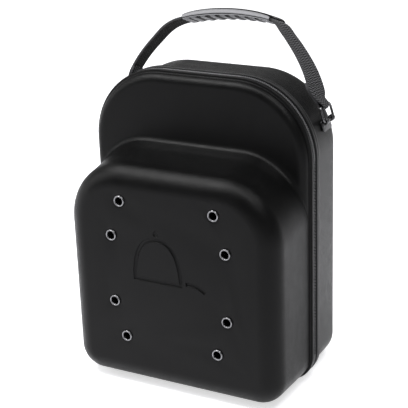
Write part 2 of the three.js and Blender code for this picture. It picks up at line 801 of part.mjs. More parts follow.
/** A side link: a closed wire loop that stands from the anchor's knuckles to the strap's eye. */
function sideLink(side) {
  const { lowerBar, upperBar } = linkPlace();
  const centre = lowerBar.clone().add(upperBar).multiplyScalar(0.5);
  const rise = upperBar.clone().sub(lowerBar).normalize();
  const depth = new THREE.Vector3(0, 1, 0);
  const out = depth.clone().cross(rise);
  const rings = linkLoop().map(({ point, normal }) => {
    const ring = [];
    for (let i = 0; i < LINK_SIDES; i += 1) {
      const angle = ((i + 0.5) / LINK_SIDES) * 2 * Math.PI;
      const reach = LINK_WIRE * Math.cos(angle);
      ring.push(centre.clone()
        .addScaledVector(depth, point.x + normal.x * reach)
        .addScaledVector(rise, point.y + normal.y * reach)
        .addScaledVector(out, LINK_WIRE * Math.sin(angle)));
    }
    return ring;
  });
  const solid = toSolid(skin(rings, true));
  return toGeometry(side > 0 ? solid : solid.mirror([1, 0, 0]));
}

/** A side anchor: a riveted plate on the shell with two knuckles round the link's lower bar. */
function sideAnchor(side) {
  const { tilt, wall, normal, lowerBar } = linkPlace();
  const plate = new THREE.BoxGeometry(ANCHOR_PLATE, ANCHOR_LENGTH, ANCHOR_PLATE_HEIGHT);
  plate.rotateY(-tilt);
  const plateCentre = wall.clone().addScaledVector(normal, CASE_GAP + ANCHOR_PLATE / 2);
  plate.translate(plateCentre.x, plateCentre.y, plateCentre.z);
  let solid = toSolid(plate);
  const bore = LINK_WIRE + LINK_GAP;
  const barTo = (radius, length, offset) => cylinderAlongY(radius, length)
    .translate([lowerBar.x, lowerBar.y + offset, lowerBar.z]);
  const knuckleOffset = LINK_WIDTH / 2 - LINK_WIRE - LINK_CORNER - KNUCKLE_LENGTH / 2;
  for (const end of [-1, 1]) {
    solid = solid.add(barTo(bore + KNUCKLE_WALL, KNUCKLE_LENGTH, end * knuckleOffset));
    const rivet = new THREE.SphereGeometry(RIVET_RADIUS, ROUND_SIDES, RIVET_RINGS);
    rivet.scale(RIVET_RISE / RIVET_RADIUS, 1, 1);
    rivet.rotateY(-tilt);
    const seat = wall.clone()
      .addScaledVector(normal, CASE_GAP + ANCHOR_PLATE)
      .addScaledVector(new THREE.Vector3(normal.z, 0, -normal.x), ANCHOR_PLATE_HEIGHT / 2 - RIVET_RADIUS);
    rivet.translate(seat.x, seat.y + end * (ANCHOR_LENGTH / 2 - RIVET_EDGE), seat.z);
    solid = solid.add(toSolid(rivet));
  }
  solid = solid.subtract(barTo(bore, ANCHOR_LENGTH + 2 * CUT_PAST, 0));
  return toGeometry(side > 0 ? solid : solid.mirror([1, 0, 0]));
}

/** A named mesh with its own material. */
function piece(name, geometry, finish) {
  const mesh = new THREE.Mesh(geometry, new THREE.MeshStandardMaterial(finish));
  mesh.name = name;
  return mesh;
}

const caseGroup = new THREE.Group();
caseGroup.add(
  piece("front_shell", frontShell(), FINISHES.shell),
  piece("back_shell", backShell(), FINISHES.shell),
  piece("zip_tape_front", zipTape(-1), FINISHES.tape),
  piece("zip_tape_back", zipTape(1), FINISHES.tape),
  piece("zip_coil", zipCoil(), FINISHES.coil),
  piece("hinge_strip", hingeStrip(), FINISHES.tape),
  piece("zip_slider", zipSlider(), FINISHES.slider),
  piece("strap", strap(), FINISHES.strap),
  piece("grip", grip(), FINISHES.grip),
);
eyeletPlaces().forEach((place, i) => {
  const mesh = piece(`eyelet_${i + 1}`, eyelet(), FINISHES.eyelet);
  mesh.position.copy(place);
  caseGroup.add(mesh);
});
for (const [name, side] of [["left", -1], ["right", 1]]) {
  caseGroup.add(
    piece(`link_${name}`, sideLink(side), FINISHES.link),
    piece(`anchor_${name}`, sideAnchor(side), FINISHES.link),
  );
}

// The origin is the middle of the case's whole footprint, on the surface that it stands on
const reach = new THREE.Box3().setFromObject(caseGroup, true);
const middle = reach.getCenter(new THREE.Vector3());
caseGroup.position.set(-middle.x, -middle.y, -reach.min.z);
const part = new THREE.Group();
part.add(caseGroup);

export default part;
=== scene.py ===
import logging
import math
from collections.abc import Callable, Iterator, Sequence
from contextlib import contextmanager
from dataclasses import dataclass, field
from enum import Enum
from functools import cached_property

import bmesh
import bpy
import numpy as np
from mathutils import Matrix, Vector
from mathutils.kdtree import KDTree


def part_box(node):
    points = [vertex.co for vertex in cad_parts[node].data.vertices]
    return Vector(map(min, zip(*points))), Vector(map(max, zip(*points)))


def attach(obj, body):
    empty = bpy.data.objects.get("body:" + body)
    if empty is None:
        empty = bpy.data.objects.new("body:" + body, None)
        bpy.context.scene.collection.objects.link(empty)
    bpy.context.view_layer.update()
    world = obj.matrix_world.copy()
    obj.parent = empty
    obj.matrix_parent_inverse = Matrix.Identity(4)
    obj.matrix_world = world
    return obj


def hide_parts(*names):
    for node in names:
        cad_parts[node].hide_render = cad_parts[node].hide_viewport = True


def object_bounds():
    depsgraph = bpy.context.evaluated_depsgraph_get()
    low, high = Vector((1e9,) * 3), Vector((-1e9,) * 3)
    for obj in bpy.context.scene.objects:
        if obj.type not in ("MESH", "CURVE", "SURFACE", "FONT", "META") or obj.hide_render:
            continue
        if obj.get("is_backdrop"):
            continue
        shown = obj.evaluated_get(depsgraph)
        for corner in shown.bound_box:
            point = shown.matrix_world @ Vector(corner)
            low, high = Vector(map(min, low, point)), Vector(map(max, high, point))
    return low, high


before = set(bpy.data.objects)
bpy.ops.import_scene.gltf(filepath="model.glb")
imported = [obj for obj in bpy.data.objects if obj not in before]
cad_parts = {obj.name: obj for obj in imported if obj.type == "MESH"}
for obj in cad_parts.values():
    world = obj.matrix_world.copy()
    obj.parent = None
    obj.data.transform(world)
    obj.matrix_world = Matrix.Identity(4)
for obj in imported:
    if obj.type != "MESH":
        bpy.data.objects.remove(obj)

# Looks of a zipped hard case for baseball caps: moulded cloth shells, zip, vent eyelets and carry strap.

# Sizes are in millimetres, and MM turns them into metres. MERGE_REACH is in metres already.
MM = 0.001
MERGE_REACH = 0.00001
NEAR = 0.01
FOLD_STEPS = 10
SMOOTH_ANGLE = math.radians(32)
RIM_ANGLE = math.radians(50)
ROUND_ANGLE = math.radians(60)
BODY = "root"

log = logging.getLogger("cap_case")


class Side(Enum):
    """The left or right side of the case, as the sign of X."""

    LEFT = -1
    RIGHT = 1


class Half(Enum):
    """The front or back half of the case, as the sign of Y."""

    FRONT = -1
    BACK = 1


@dataclass(frozen=True)
class CasePlace:
    """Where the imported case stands, in millimetres, about its zip seam and the middle of its width."""

    centre_x: float
    seam_y: float
    half_width: float
    height: float
    front_depth: float
    back_depth: float

    @classmethod
    def from_pack(cls) -> "CasePlace":
        """Reads the case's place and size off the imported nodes.

        Returns:
            The place of the case.
        """
        front_low, front_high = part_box("front_shell")
        back_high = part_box("back_shell")[1]
        seam = (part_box("zip_tape_front")[1].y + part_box("zip_tape_back")[0].y) / 2
        return cls(
            centre_x=(front_low.x + front_high.x) / 2 / MM,
            seam_y=seam / MM,
            half_width=(front_high.x - front_low.x) / 2 / MM,
            height=front_high.z / MM,
            front_depth=(seam - front_low.y) / MM,
            back_depth=(back_high.y - seam) / MM,
        )

    def point(self, x: float, y: float, z: float) -> Vector:
        """Turns case millimetres into a point of the frame in metres."""
        return Vector((self.centre_x + x, self.seam_y + y, z)) * MM


CASE = CasePlace.from_pack()


def deselect_all() -> None:
    """Leaves every object deselected, in object mode."""
    if bpy.context.object and bpy.context.object.mode != "OBJECT":
        bpy.ops.object.mode_set(mode="OBJECT")
    bpy.ops.object.select_all(action="DESELECT")


def activate(piece: bpy.types.Object) -> None:
    """Makes one object the only selected and the active one.

    Args:
        piece: The object.
    """
    deselect_all()
    piece.select_set(True)
    bpy.context.view_layer.objects.active = piece


@contextmanager
def editing(piece: bpy.types.Object, mode: str = "FACE") -> Iterator[None]:
    """Holds an object in edit mode with nothing selected.

    Args:
        piece: The mesh object to edit.
        mode: The kind of element that is selected: VERT, EDGE or FACE.

    Yields:
        Nothing: the object is in edit mode while the block runs.
    """
    activate(piece)
    bpy.ops.object.mode_set(mode="EDIT")
    bpy.ops.mesh.select_mode(type=mode)
    bpy.ops.mesh.select_all(action="DESELECT")
    yield
    bpy.ops.object.mode_set(mode="OBJECT")


def pick(piece: bpy.types.Object, test: Callable[[Vector, Vector], bool]) -> None:
    """Selects the faces in edit mode whose centre and normal pass a test.

    Args:
        piece: The object in edit mode.
        test: Says from a face's centre and normal whether it is wanted.
    """
    bpy.ops.mesh.select_all(action="DESELECT")
    shape = bmesh.from_edit_mesh(piece.data)
    for face in shape.faces:
        if test(face.calc_center_median(), face.normal):
            face.select_set(True)
    bmesh.update_edit_mesh(piece.data)


def pick_edges(piece: bpy.types.Object, test: Callable[[Vector, Vector], bool]) -> None:
    """Selects the edges in edit mode whose two ends pass a test.

    Args:
        piece: The object in edit mode, in edge mode.
        test: Says from the two ends whether an edge is wanted.
    """
    bpy.ops.mesh.select_all(action="DESELECT")
    shape = bmesh.from_edit_mesh(piece.data)
    for edge in shape.edges:
        if test(edge.verts[0].co, edge.verts[1].co):
            edge.select_set(True)
    bmesh.update_edit_mesh(piece.data)


def clean(piece: bpy.types.Object, reach: float = MERGE_REACH) -> None:
    """Merges doubles, drops loose bits and turns the faces outwards.

    Args:
        piece: The mesh object.
        reach: How close two points are that become one, in metres.
    """
    with editing(piece, "VERT"):
        bpy.ops.mesh.select_all(action="SELECT")
        bpy.ops.mesh.remove_doubles(threshold=reach)
        bpy.ops.mesh.dissolve_degenerate(threshold=MERGE_REACH / 10)
        bpy.ops.mesh.delete_loose()
        bpy.ops.mesh.select_all(action="SELECT")
        bpy.ops.mesh.normals_make_consistent(inside=False)


def smooth(piece: bpy.types.Object, angle: float = SMOOTH_ANGLE) -> None:
    """Shades a piece smooth, apart from its edges sharper than an angle."""
    activate(piece)
    bpy.ops.object.shade_smooth_by_angle(angle=angle)


def join(pieces: Sequence[bpy.types.Object], name: str) -> bpy.types.Object:
    """Joins meshes into one object.

    Args:
        pieces: The objects to join.
        name: The name of the joined object.

    Returns:
        The joined object.
    """
    activate(pieces[0])
    for piece in pieces:
        piece.select_set(True)
    bpy.ops.object.join()
    pieces[0].name = name
    return pieces[0]


def cut(piece: bpy.types.Object, cutter: bpy.types.Object) -> None:
    """Cuts one closed mesh out of another and removes the cutter.

    Args:
        piece: The mesh object that is cut.
        cutter: The body to cut away.
    """
    activate(piece)
    modifier = piece.modifiers.new("cut", "BOOLEAN")
    modifier.operation = "DIFFERENCE"
    modifier.solver = "EXACT"
    modifier.object = cutter
    bpy.ops.object.modifier_apply(modifier=modifier.name)
    bpy.data.objects.remove(cutter)


def bevelled(piece: bpy.types.Object, width: float, segments: int = 2, angle: float = 40) -> None:
    """Rounds a piece's sharp edges with an applied bevel.

    Args:
        piece: The mesh object.
        width: Width of the bevel in millimetres.
        segments: Steps of the rounding.
        angle: Least angle of an edge that is rounded, in degrees.
    """
    activate(piece)
    modifier = piece.modifiers.new("edges", "BEVEL")
    modifier.width = width * MM
    modifier.segments = segments
    modifier.limit_method = "ANGLE"
    modifier.angle_limit = math.radians(angle)
    bpy.ops.object.modifier_apply(modifier=modifier.name)


def loft(name: str, rings: Sequence[Sequence[Vector]], closed: bool = False) -> bpy.types.Object:
    """Lays a grid of faces from section to section, as a closed skin with a metric UV map.

    Args:
        name: The name of the new object.
        rings: Closed sections with equal counts of points, in metres.
        closed: True where the last section meets the first again; otherwise both ends are filled.

    Returns:
        The new object, with its doubles merged and its faces turned outwards.
    """
    course = [[*ring, ring[0]] for ring in rings]
    if closed:
        course.append(course[0])
    columns = len(course[0])
    deselect_all()
    bpy.ops.mesh.primitive_grid_add(x_subdivisions=columns - 1, y_subdivisions=len(course) - 1, size=1)
    piece = bpy.context.object
    piece.name = name
    piece.data.vertices.foreach_set("co", np.array(course, dtype=np.float32).ravel())
    widest = max(course, key=lambda ring: lengths_along(ring)[-1])
    around = lengths_along(widest)
    along = lengths_along([ring[columns // 4] for ring in course])
    points = np.empty(len(piece.data.loops), dtype=np.int32)
    piece.data.loops.foreach_get("vertex_index", points)
    places = np.stack([np.array(around)[points % columns], np.array(along)[points // columns]], axis=1)
    piece.data.uv_layers.active.data.foreach_set("uv", places.astype(np.float32).ravel())
    clean(piece)
    if not closed:
        with editing(piece, "VERT"):
            bpy.ops.mesh.select_non_manifold()
            bpy.ops.mesh.fill_holes(sides=0)
            bpy.ops.mesh.select_all(action="SELECT")
            bpy.ops.mesh.normals_make_consistent(inside=False)
    return piece


def lengths_along(points: Sequence[Vector]) -> list[float]:
    """Distances from the first point, along the others.

    Args:
        points: The points of a line.

    Returns:
        One distance for each point, in the points' own unit.
    """
    total = [0.0]
    for here, there in zip(points, points[1:]):
        total.append(total[-1] + (there - here).length)
    return total


def box_unwrap(piece: bpy.types.Object) -> None:
    """Gives a piece a UV map in metres, projected from its six sides.

    Args:
        piece: The mesh object.
    """
    with editing(piece):
        bpy.ops.mesh.select_all(action="SELECT")
        bpy.ops.uv.cube_project(cube_size=1, correct_aspect=False)


def spun(
    name: str, profile: Sequence[tuple[float, float]], centre: Vector, steps: int
) -> bpy.types.Object:
    """Spins a closed profile round an axis along Y.

    Args:
        name: The name of the new object.
        profile: Points as radius and distance along +Y, in millimetres.
        centre: The profile's origin, in metres.
        steps: Steps of the whole turn.

    Returns:
        The new object.
    """
    deselect_all()
    bpy.ops.mesh.primitive_circle_add(vertices=len(profile), radius=MM, fill_type="NOTHING")
    piece = bpy.context.object
    piece.name = name
    for vertex, (radius, along) in zip(piece.data.vertices, profile):
        vertex.co = centre + Vector((radius, along, 0)) * MM
    bpy.ops.object.mode_set(mode="EDIT")
    bpy.ops.mesh.select_all(action="SELECT")
    bpy.ops.mesh.spin(steps=steps, angle=2 * math.pi, center=centre, axis=(0, 1, 0))
    bpy.ops.object.mode_set(mode="OBJECT")
    clean(piece)
    return piece


def block(name: str, centre: Vector, size: Sequence[float]) -> bpy.types.Object:
    """Adds a box to be shaped further.

    Args:
        name: The name of the new object.
        centre: Its middle, in metres.
        size: Its three sides, in millimetres.

    Returns:
        The new object, with its place in its mesh.
    """
    deselect_all()
    bpy.ops.mesh.primitive_cube_add(size=1, location=centre)
    piece = bpy.context.object
    piece.name = name
    piece.scale = Vector(size) * MM
    bpy.ops.object.transform_apply(location=True, rotation=True, scale=True)
    return piece


def turned(piece: bpy.types.Object, angle: float, axis: str, centre: Vector) -> None:
    """Turns a whole mesh about an axis through a point, in edit mode.

    Args:
        piece: The mesh object.
        angle: The turn in radians.
        axis: X, Y or Z.
        centre: The point that stays in place, in metres.
    """
    with editing(piece):
        bpy.ops.mesh.select_all(action="SELECT")
        bpy.ops.transform.rotate(value=angle, orient_axis=axis, center_override=centre)


def copies(name: str, model: bpy.types.Object, places: Sequence[Matrix]) -> bpy.types.Object:
    """Makes one mesh of many copies of a small modelled shape, and removes the model.

    Args:
        name: The name of the new object.
        model: The shape, about the origin.
        places: Where each copy goes.

    Returns:
        The new object.
    """
    base = np.array([(*v.co, 1.0) for v in model.data.vertices])
    faces = [tuple(face.vertices) for face in model.data.polygons]
    points = np.concatenate([(base @ np.array(place).T)[:, :3] for place in places])
    every = [
        tuple(corner + i * len(base) for corner in face)
        for i in range(len(places)) for face in faces
    ]
    mesh = bpy.data.meshes.new(name)
    mesh.from_pydata(points.tolist(), [], every)
    piece = bpy.data.objects.new(name, mesh)
    bpy.context.scene.collection.objects.link(piece)
    bpy.data.objects.remove(model)
    return piece


class Sheet:
    """A material's node sheet, with short calls to add and link nodes."""

    def __init__(self, name: str) -> None:
        """Starts a material with one principled shader.

        Args:
            name: The material's name.
        """
        self.material = bpy.data.materials.new(name)
        self.material.use_nodes = True
        self.tree = self.material.node_tree
        self.shader = self.tree.nodes["Principled BSDF"]

    def add(
        self, kind: str, inputs: dict[int | str, object] | None = None, **settings: object
    ) -> bpy.types.Node:
        """Adds a node.

        Args:
            kind: The node's type name without the ShaderNode prefix.
            inputs: Values or output sockets, by the input's name or number.
            **settings: Properties of the node itself.

        Returns:
            The new node.
        """
        node = self.tree.nodes.new("ShaderNode" + kind)
        for key, value in settings.items():
            setattr(node, key, value)
        for key, value in (inputs or {}).items():
            if isinstance(value, bpy.types.NodeSocket):
                self.tree.links.new(value, node.inputs[key])
            else:
                node.inputs[key].default_value = value
        return node

    def math(self, operation: str, first: object, second: object = 0.0) -> bpy.types.NodeSocket:
        """Adds a maths node and returns its result."""
        return self.add("Math", {0: first, 1: second}, operation=operation).outputs[0]

    def noise(
        self, scale: float, detail: float = 2.0, vector: object = None
    ) -> bpy.types.NodeSocket:
        """Adds noise.

        Args:
            scale: How fine it is.
            detail: Its detail.
            vector: The socket of its coordinates, or None for object coordinates.

        Returns:
            The noise's factor.
        """
        source = vector or self.add("TexCoord").outputs["Object"]
        inputs = {"Vector": source, "Scale": scale, "Detail": detail}
        return self.add("TexNoise", inputs).outputs["Fac"]

    def spread(self, factor: object, low: float, high: float) -> bpy.types.NodeSocket:
        """Maps a factor's middle range onto two values."""
        inputs = {"Value": factor, "From Min": 0.3, "From Max": 0.7, "To Min": low, "To Max": high}
        return self.add("MapRange", inputs).outputs[0]

    def tint(
        self, factor: object, dark: Sequence[float], light: Sequence[float]
    ) -> bpy.types.NodeSocket:
        """Mixes two colours by a factor.

        Args:
            factor: The socket that mixes them, over its middle range.
            dark: The colour for a low factor.
            light: The colour for a high factor.

        Returns:
            The mixed colour's socket.
        """
        ramp = self.add("ValToRGB", {"Fac": factor})
        ramp.color_ramp.elements[0].color = (*dark, 1)
        ramp.color_ramp.elements[1].color = (*light, 1)
        ramp.color_ramp.elements[0].position = 0.3
        ramp.color_ramp.elements[1].position = 0.7
        return ramp.outputs["Color"]

    def weave(self, pitch: float) -> bpy.types.NodeSocket:
        """Makes a plain weave's height from the UV map.

        Args:
            pitch: The pitch of the threads in millimetres.

        Returns:
            The height's socket.
        """
        split = self.add("SeparateXYZ", {"Vector": self.add("TexCoord").outputs["UV"]})
        turn = 2 * math.pi / (pitch * MM)
        warp = self.math("SINE", self.math("MULTIPLY", split.outputs["X"], turn))
        weft = self.math("SINE", self.math("MULTIPLY", split.outputs["Y"], turn))
        return self.math("MULTIPLY", warp, weft)

    def bump(self, height: object, depth: float, strength: float = 1.0) -> None:
        """Bumps the shader's normal by a height, with its depth in millimetres."""
        node = self.add("Bump", {"Height": height, "Distance": depth * MM, "Strength": strength})
        self.tree.links.new(node.outputs["Normal"], self.shader.inputs["Normal"])

    def feed(self, socket: str, value: object) -> None:
        """Sets or links one input of the shader.

        Args:
            socket: The input's name.
            value: A value, or the output socket to link.
        """
        if isinstance(value, bpy.types.NodeSocket):
            self.tree.links.new(value, self.shader.inputs[socket])
        else:
            self.shader.inputs[socket].default_value = value


def grey(value: float) -> tuple[float, float, float]:
    """A neutral colour with a trace of blue."""
    return (value, value, value * 1.04)


@dataclass(frozen=True)
class ShellCloth:
    """Fine black cloth laminated on moulded foam."""

    name: str = "moulded_cloth"
    tone: float = 0.0014
    spread: float = 0.25
    roughness: float = 0.32
    specular: float = 0.098
    thread_pitch: float = 0.7
    nap: float = 2.5
    relief: float = 0.05
    streaks: bool = False
    streak_scale: tuple[float, float, float] = (60.0, 60.0, 2.5)

    def build(self) -> bpy.types.Material:
        """Builds the material.

        Returns:
            The finished material.
        """
        sheet = Sheet(self.name)
        patches = sheet.noise(14, 3)
        if self.streaks:
            source = sheet.add("TexCoord").outputs["Object"]
            mapping = sheet.add("Mapping", {"Vector": source, "Scale": self.streak_scale})
            lines = sheet.math("MULTIPLY", sheet.noise(1, 2, mapping.outputs["Vector"]), 0.5)
            patches = sheet.math("ADD", sheet.math("MULTIPLY", patches, 0.5), lines)
        dark = grey(self.tone * (1 - self.spread))
        light = grey(self.tone * (1 + self.spread))
        sheet.feed("Base Color", sheet.tint(patches, dark, light))
        worn = sheet.spread(sheet.noise(90, 2), self.roughness - 0.04, self.roughness + 0.05)
        sheet.feed("Roughness", worn)
        sheet.feed("Specular IOR Level", self.specular)
        fine = sheet.math("ADD", sheet.weave(self.thread_pitch), sheet.noise(1500, 1))
        grain = sheet.math("ADD", fine, sheet.math("MULTIPLY", sheet.noise(420, 2), self.nap))
        sheet.bump(grain, self.relief, 0.6)
        return sheet.material


@dataclass(frozen=True)
class TapeCloth:
    """Woven zip tape or hinge cloth, with ribs along it."""

    name: str = "woven_tape"
    tone: float = 0.002
    roughness: float = 0.85
    rib_pitch: float = 0.8
    relief: float = 0.12

    def build(self) -> bpy.types.Material:
        """Builds the material.

        Returns:
            The finished material.
        """
        sheet = Sheet(self.name)
        colour = sheet.tint(sheet.noise(200), grey(self.tone * 0.7), grey(self.tone * 1.4))
        sheet.feed("Base Color", colour)
        sheet.feed("Roughness", self.roughness)
        sheet.feed("Specular IOR Level", 0.08)
        fine = sheet.math("ADD", sheet.weave(self.rib_pitch), sheet.noise(2200, 1))
        sheet.bump(fine, self.relief)
        return sheet.material


@dataclass(frozen=True)
class Webbing:
    """Black nylon webbing, yarns over its mesh's ribs, with painted highlight on crests and painted
    shade in valleys.
    """

    name: str = "nylon_webbing"
    tone: float = 0.026
    painted_valley_shade: float = 0.01
    painted_crest_highlight: float = 4.2
    yarn_pitch: float = 0.55
    relief: float = 0.1

    def build(self) -> bpy.types.Material:
        """Builds the material.

        Returns:
            The finished material.
        """
        sheet = Sheet(self.name)
        ribs = sheet.add("Attribute", attribute_name="rib").outputs["Fac"]
        dust = sheet.math("MULTIPLY", sheet.noise(160), 0.1)
        # Painted highlight on the rib crests and painted shade in the valleys, with a little random
        # dust.
        worn = sheet.math("ADD", sheet.math("MULTIPLY", ribs, 0.9), dust)
        colour = sheet.tint(worn, grey(self.tone * self.painted_valley_shade), grey(self.tone * self.painted_crest_highlight))
        sheet.feed("Base Color", colour)
        sheet.feed("Roughness", sheet.spread(sheet.noise(300), 0.55, 0.7))
        sheet.feed("Specular IOR Level", 0.03)
        fine = sheet.math("ADD", sheet.weave(self.yarn_pitch), sheet.noise(1800, 1))
        sheet.bump(fine, self.relief)
        return sheet.material


@dataclass(frozen=True)
class GripRubber:
    """Grey moulded rubber, darker on its top, with painted shade in its hollows, its slot and over its
    face.
    """

    name: str = "grip_rubber"
    tone: float = 0.34
    top_and_painted_shade_tone: float = 0.004
    roughness: float = 0.65

    def build(self) -> bpy.types.Material:
        """Builds the material.

        Returns:
            The finished material.
        """
        sheet = Sheet(self.name)
        # The dark attribute holds the darker top and the painted shade in the groove, notches and slot
        # and over the face.
        shade = sheet.add("Attribute", attribute_name="dark").outputs["Fac"]
        cloudy = sheet.math("ADD", shade, sheet.math("MULTIPLY", sheet.noise(240), 0.08))
        sheet.feed("Base Color", sheet.tint(cloudy, grey(self.tone), grey(self.top_and_painted_shade_tone)))
        worn = sheet.spread(sheet.noise(120), self.roughness - 0.06, self.roughness + 0.08)
        sheet.feed("Roughness", worn)
        sheet.feed("Specular IOR Level", 0.06)
        sheet.bump(sheet.noise(1400, 2), 0.04, 0.7)
        return sheet.material


@dataclass(frozen=True)
class PlatedMetal:
    """Plated metal, with fine scratches and cloudy plating."""

    name: str
    tone: float
    roughness: float

    def build(self) -> bpy.types.Material:
        """Builds the material.

        Returns:
            The finished material.
        """
        sheet = Sheet(self.name)
        cloudy = sheet.noise(350, 3)
        sheet.feed("Base Color", sheet.tint(cloudy, grey(self.tone * 0.8), grey(self.tone * 1.15)))
        sheet.feed("Metallic", 1.0)
        worn = sheet.spread(sheet.noise(700), self.roughness * 0.8, self.roughness * 1.3)
        sheet.feed("Roughness", worn)
        sheet.bump(sheet.noise(2600, 2), 0.015, 0.6)
        return sheet.material


@dataclass(frozen=True)
class CoilNylon:
    """Nylon of the zip's teeth in random patches, its default tone a painted highlight on the black
    coil.
    """

    name: str = "coil_nylon_painted_highlight"
    # The default tone, far lighter than black nylon, is a painted highlight along the coil's crest.
    tone: float = 0.1

    def build(self) -> bpy.types.Material:
        """Builds the material.

        Returns:
            The finished material.
        """
        sheet = Sheet(self.name)
        colour = sheet.tint(sheet.noise(500), grey(self.tone * 0.7), grey(self.tone * 1.5))
        sheet.feed("Base Color", colour)
        sheet.feed("Roughness", sheet.spread(sheet.noise(900), 0.28, 0.42))
        sheet.bump(sheet.noise(3000, 1), 0.02)
        return sheet.material


@dataclass(frozen=True)
class PaleFloor:
    """A plain pale matt floor, lit evenly from beneath as a photographer's light table is."""

    name: str = "pale_floor"
    tone: float = 0.9
    glow: float = 0.6

    def build(self) -> bpy.types.Material:
        """Builds the material.

        Returns:
            The finished material.
        """
        sheet = Sheet(self.name)
        sheet.feed("Base Color", sheet.tint(sheet.noise(3), grey(self.tone * 0.99), grey(self.tone)))
        sheet.feed("Emission Color", (1.0, 1.0, 1.0, 1.0))
        sheet.feed("Emission Strength", self.glow)
        sheet.feed("Roughness", 0.85)
        sheet.feed("Specular IOR Level", 0.1)
        sheet.bump(sheet.noise(400, 2), 0.05, 0.2)
        return sheet.material


class Finishes:
    """The case's materials, each built once."""

    def __init__(self) -> None:
        """Builds every material."""
        self.shell = ShellCloth().build()
        back = ShellCloth(name="moulded_cloth_back", tone=0.003, specular=0.112, streaks=True)
        self.back_shell = back.build()
        self.front_rim = ShellCloth(name="front_rim_cloth", tone=0.002, specular=0.12).build()
        # The back rim's lighter tone is a painted highlight along the rim.
        rim = ShellCloth(name="back_rim_painted_highlight_cloth", tone=0.009, specular=0.22, thread_pitch=0.5)
        self.back_rim = rim.build()
        self.tape = TapeCloth().build()
        # The teeth's light grey is a painted highlight along the coil.
        self.coil = CoilNylon().build()
        self.webbing = Webbing().build()
        self.thread = CoilNylon(name="sewing_thread", tone=0.012).build()
        self.rubber = GripRubber().build()
        self.eyelet = PlatedMetal("gunmetal_plating", 0.2, 0.3).build()
        self.anchor = PlatedMetal("dark_plating", 0.075, 0.3).build()
        self.link = PlatedMetal("nickel_plating", 0.1, 0.24).build()
        self.slider = PlatedMetal("dark_enamel", 0.12, 0.32).build()
        self.floor = PaleFloor().build()


def dress(
    piece: bpy.types.Object, material: bpy.types.Material, slot: str, stands_for: Sequence[str] = ()
) -> bpy.types.Object:
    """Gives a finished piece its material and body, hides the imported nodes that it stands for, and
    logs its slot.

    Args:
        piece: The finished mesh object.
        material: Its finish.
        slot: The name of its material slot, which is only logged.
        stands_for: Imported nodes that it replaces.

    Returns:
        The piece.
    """
    piece.data.materials.clear()
    piece.data.materials.append(material)
    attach(piece, BODY)
    if stands_for:
        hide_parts(*stands_for)
    log.info("%s: %d faces, %s", piece.name, len(piece.data.polygons), slot)
    return piece


@dataclass(frozen=True)
class OutlineSteps:
    """How many steps each stretch of half an outline has, from the bottom middle to the top middle."""

    bottom: int = 8
    bottom_corner: int = 12
    side: int = 18
    top_corner: int = 34
    top: int = 8


@dataclass(frozen=True)
class Outline:
    """A rounded rectangle in the case's XZ plane, in millimetres."""

    half: float
    top: float
    bottom: float
    top_radius: float
    bottom_radius: float

    def drawn_in(self, distance: float) -> "Outline":
        """The outline moved inwards.

        Args:
            distance: How far it moves, the same all round.

        Returns:
            The new outline.
        """
        return Outline(
            self.half - distance,
            self.top - distance,
            self.bottom + distance,
            self.top_radius - distance,
            self.bottom_radius - distance,
        )

    def inset_at(self, x: float, z: float) -> float:
        """How far inside the outline a point lies.

        Args:
            x: The point's place across.
            z: Its height.

        Returns:
            The distance to the outline, less than 0 outside.
        """
        across = abs(x)
        corner_x = self.half - self.top_radius
        if z > self.top - self.top_radius and across > corner_x:
            return self.top_radius - math.hypot(across - corner_x, z - self.top + self.top_radius)
        low_x = self.half - self.bottom_radius
        if z < self.bottom + self.bottom_radius and across > low_x:
            return self.bottom_radius - math.hypot(across - low_x, self.bottom + self.bottom_radius - z)
        return min(self.half - across, self.top - z, z - self.bottom)

    def right_half(self, steps: OutlineSteps) -> list[tuple[float, float, float]]:
        """The right half of the outline.

        Args:
            steps: How finely each stretch is stepped.

        Returns:
            Places as x, z and the outward direction's angle, from the bottom to the top middle.
        """
        low_x, top_x = self.half - self.bottom_radius, self.half - self.top_radius
        low_z, top_z = self.bottom + self.bottom_radius, self.top - self.top_radius
        places = [(low_x * i / steps.bottom, self.bottom, -math.pi / 2) for i in range(steps.bottom)]
        for i in range(steps.bottom_corner):
            angle = (i / steps.bottom_corner - 1) * math.pi / 2
            x = low_x + self.bottom_radius * math.cos(angle)
            places.append((x, low_z + self.bottom_radius * math.sin(angle), angle))
        places += [(self.half, low_z + (top_z - low_z) * i / steps.side, 0.0) for i in range(steps.side)]
        for i in range(steps.top_corner):
            angle = i / steps.top_corner * math.pi / 2
            x = top_x + self.top_radius * math.cos(angle)
            places.append((x, top_z + self.top_radius * math.sin(angle), angle))
        places += [
            (top_x * (1 - i / steps.top), self.top, math.pi / 2) for i in range(steps.top + 1)
        ]
        return places

    def whole(self, steps: OutlineSteps) -> list[tuple[float, float, float]]:
        """The whole outline.

        Args:
            steps: How finely each stretch is stepped.

        Returns:
            Places counter-clockwise from the bottom middle, as seen from the front.
        """
        right = self.right_half(steps)
        left = [(-x, z, math.pi - angle) for x, z, angle in right[-2:0:-1]]
        return right + left


STEPS = OutlineSteps()


def ring_at(outline: Outline, y: float, steps: OutlineSteps = STEPS) -> list[Vector]:
    """An outline's points at a depth, in metres."""
    return [CASE.point(x, y, z) for x, z, _ in outline.whole(steps)]


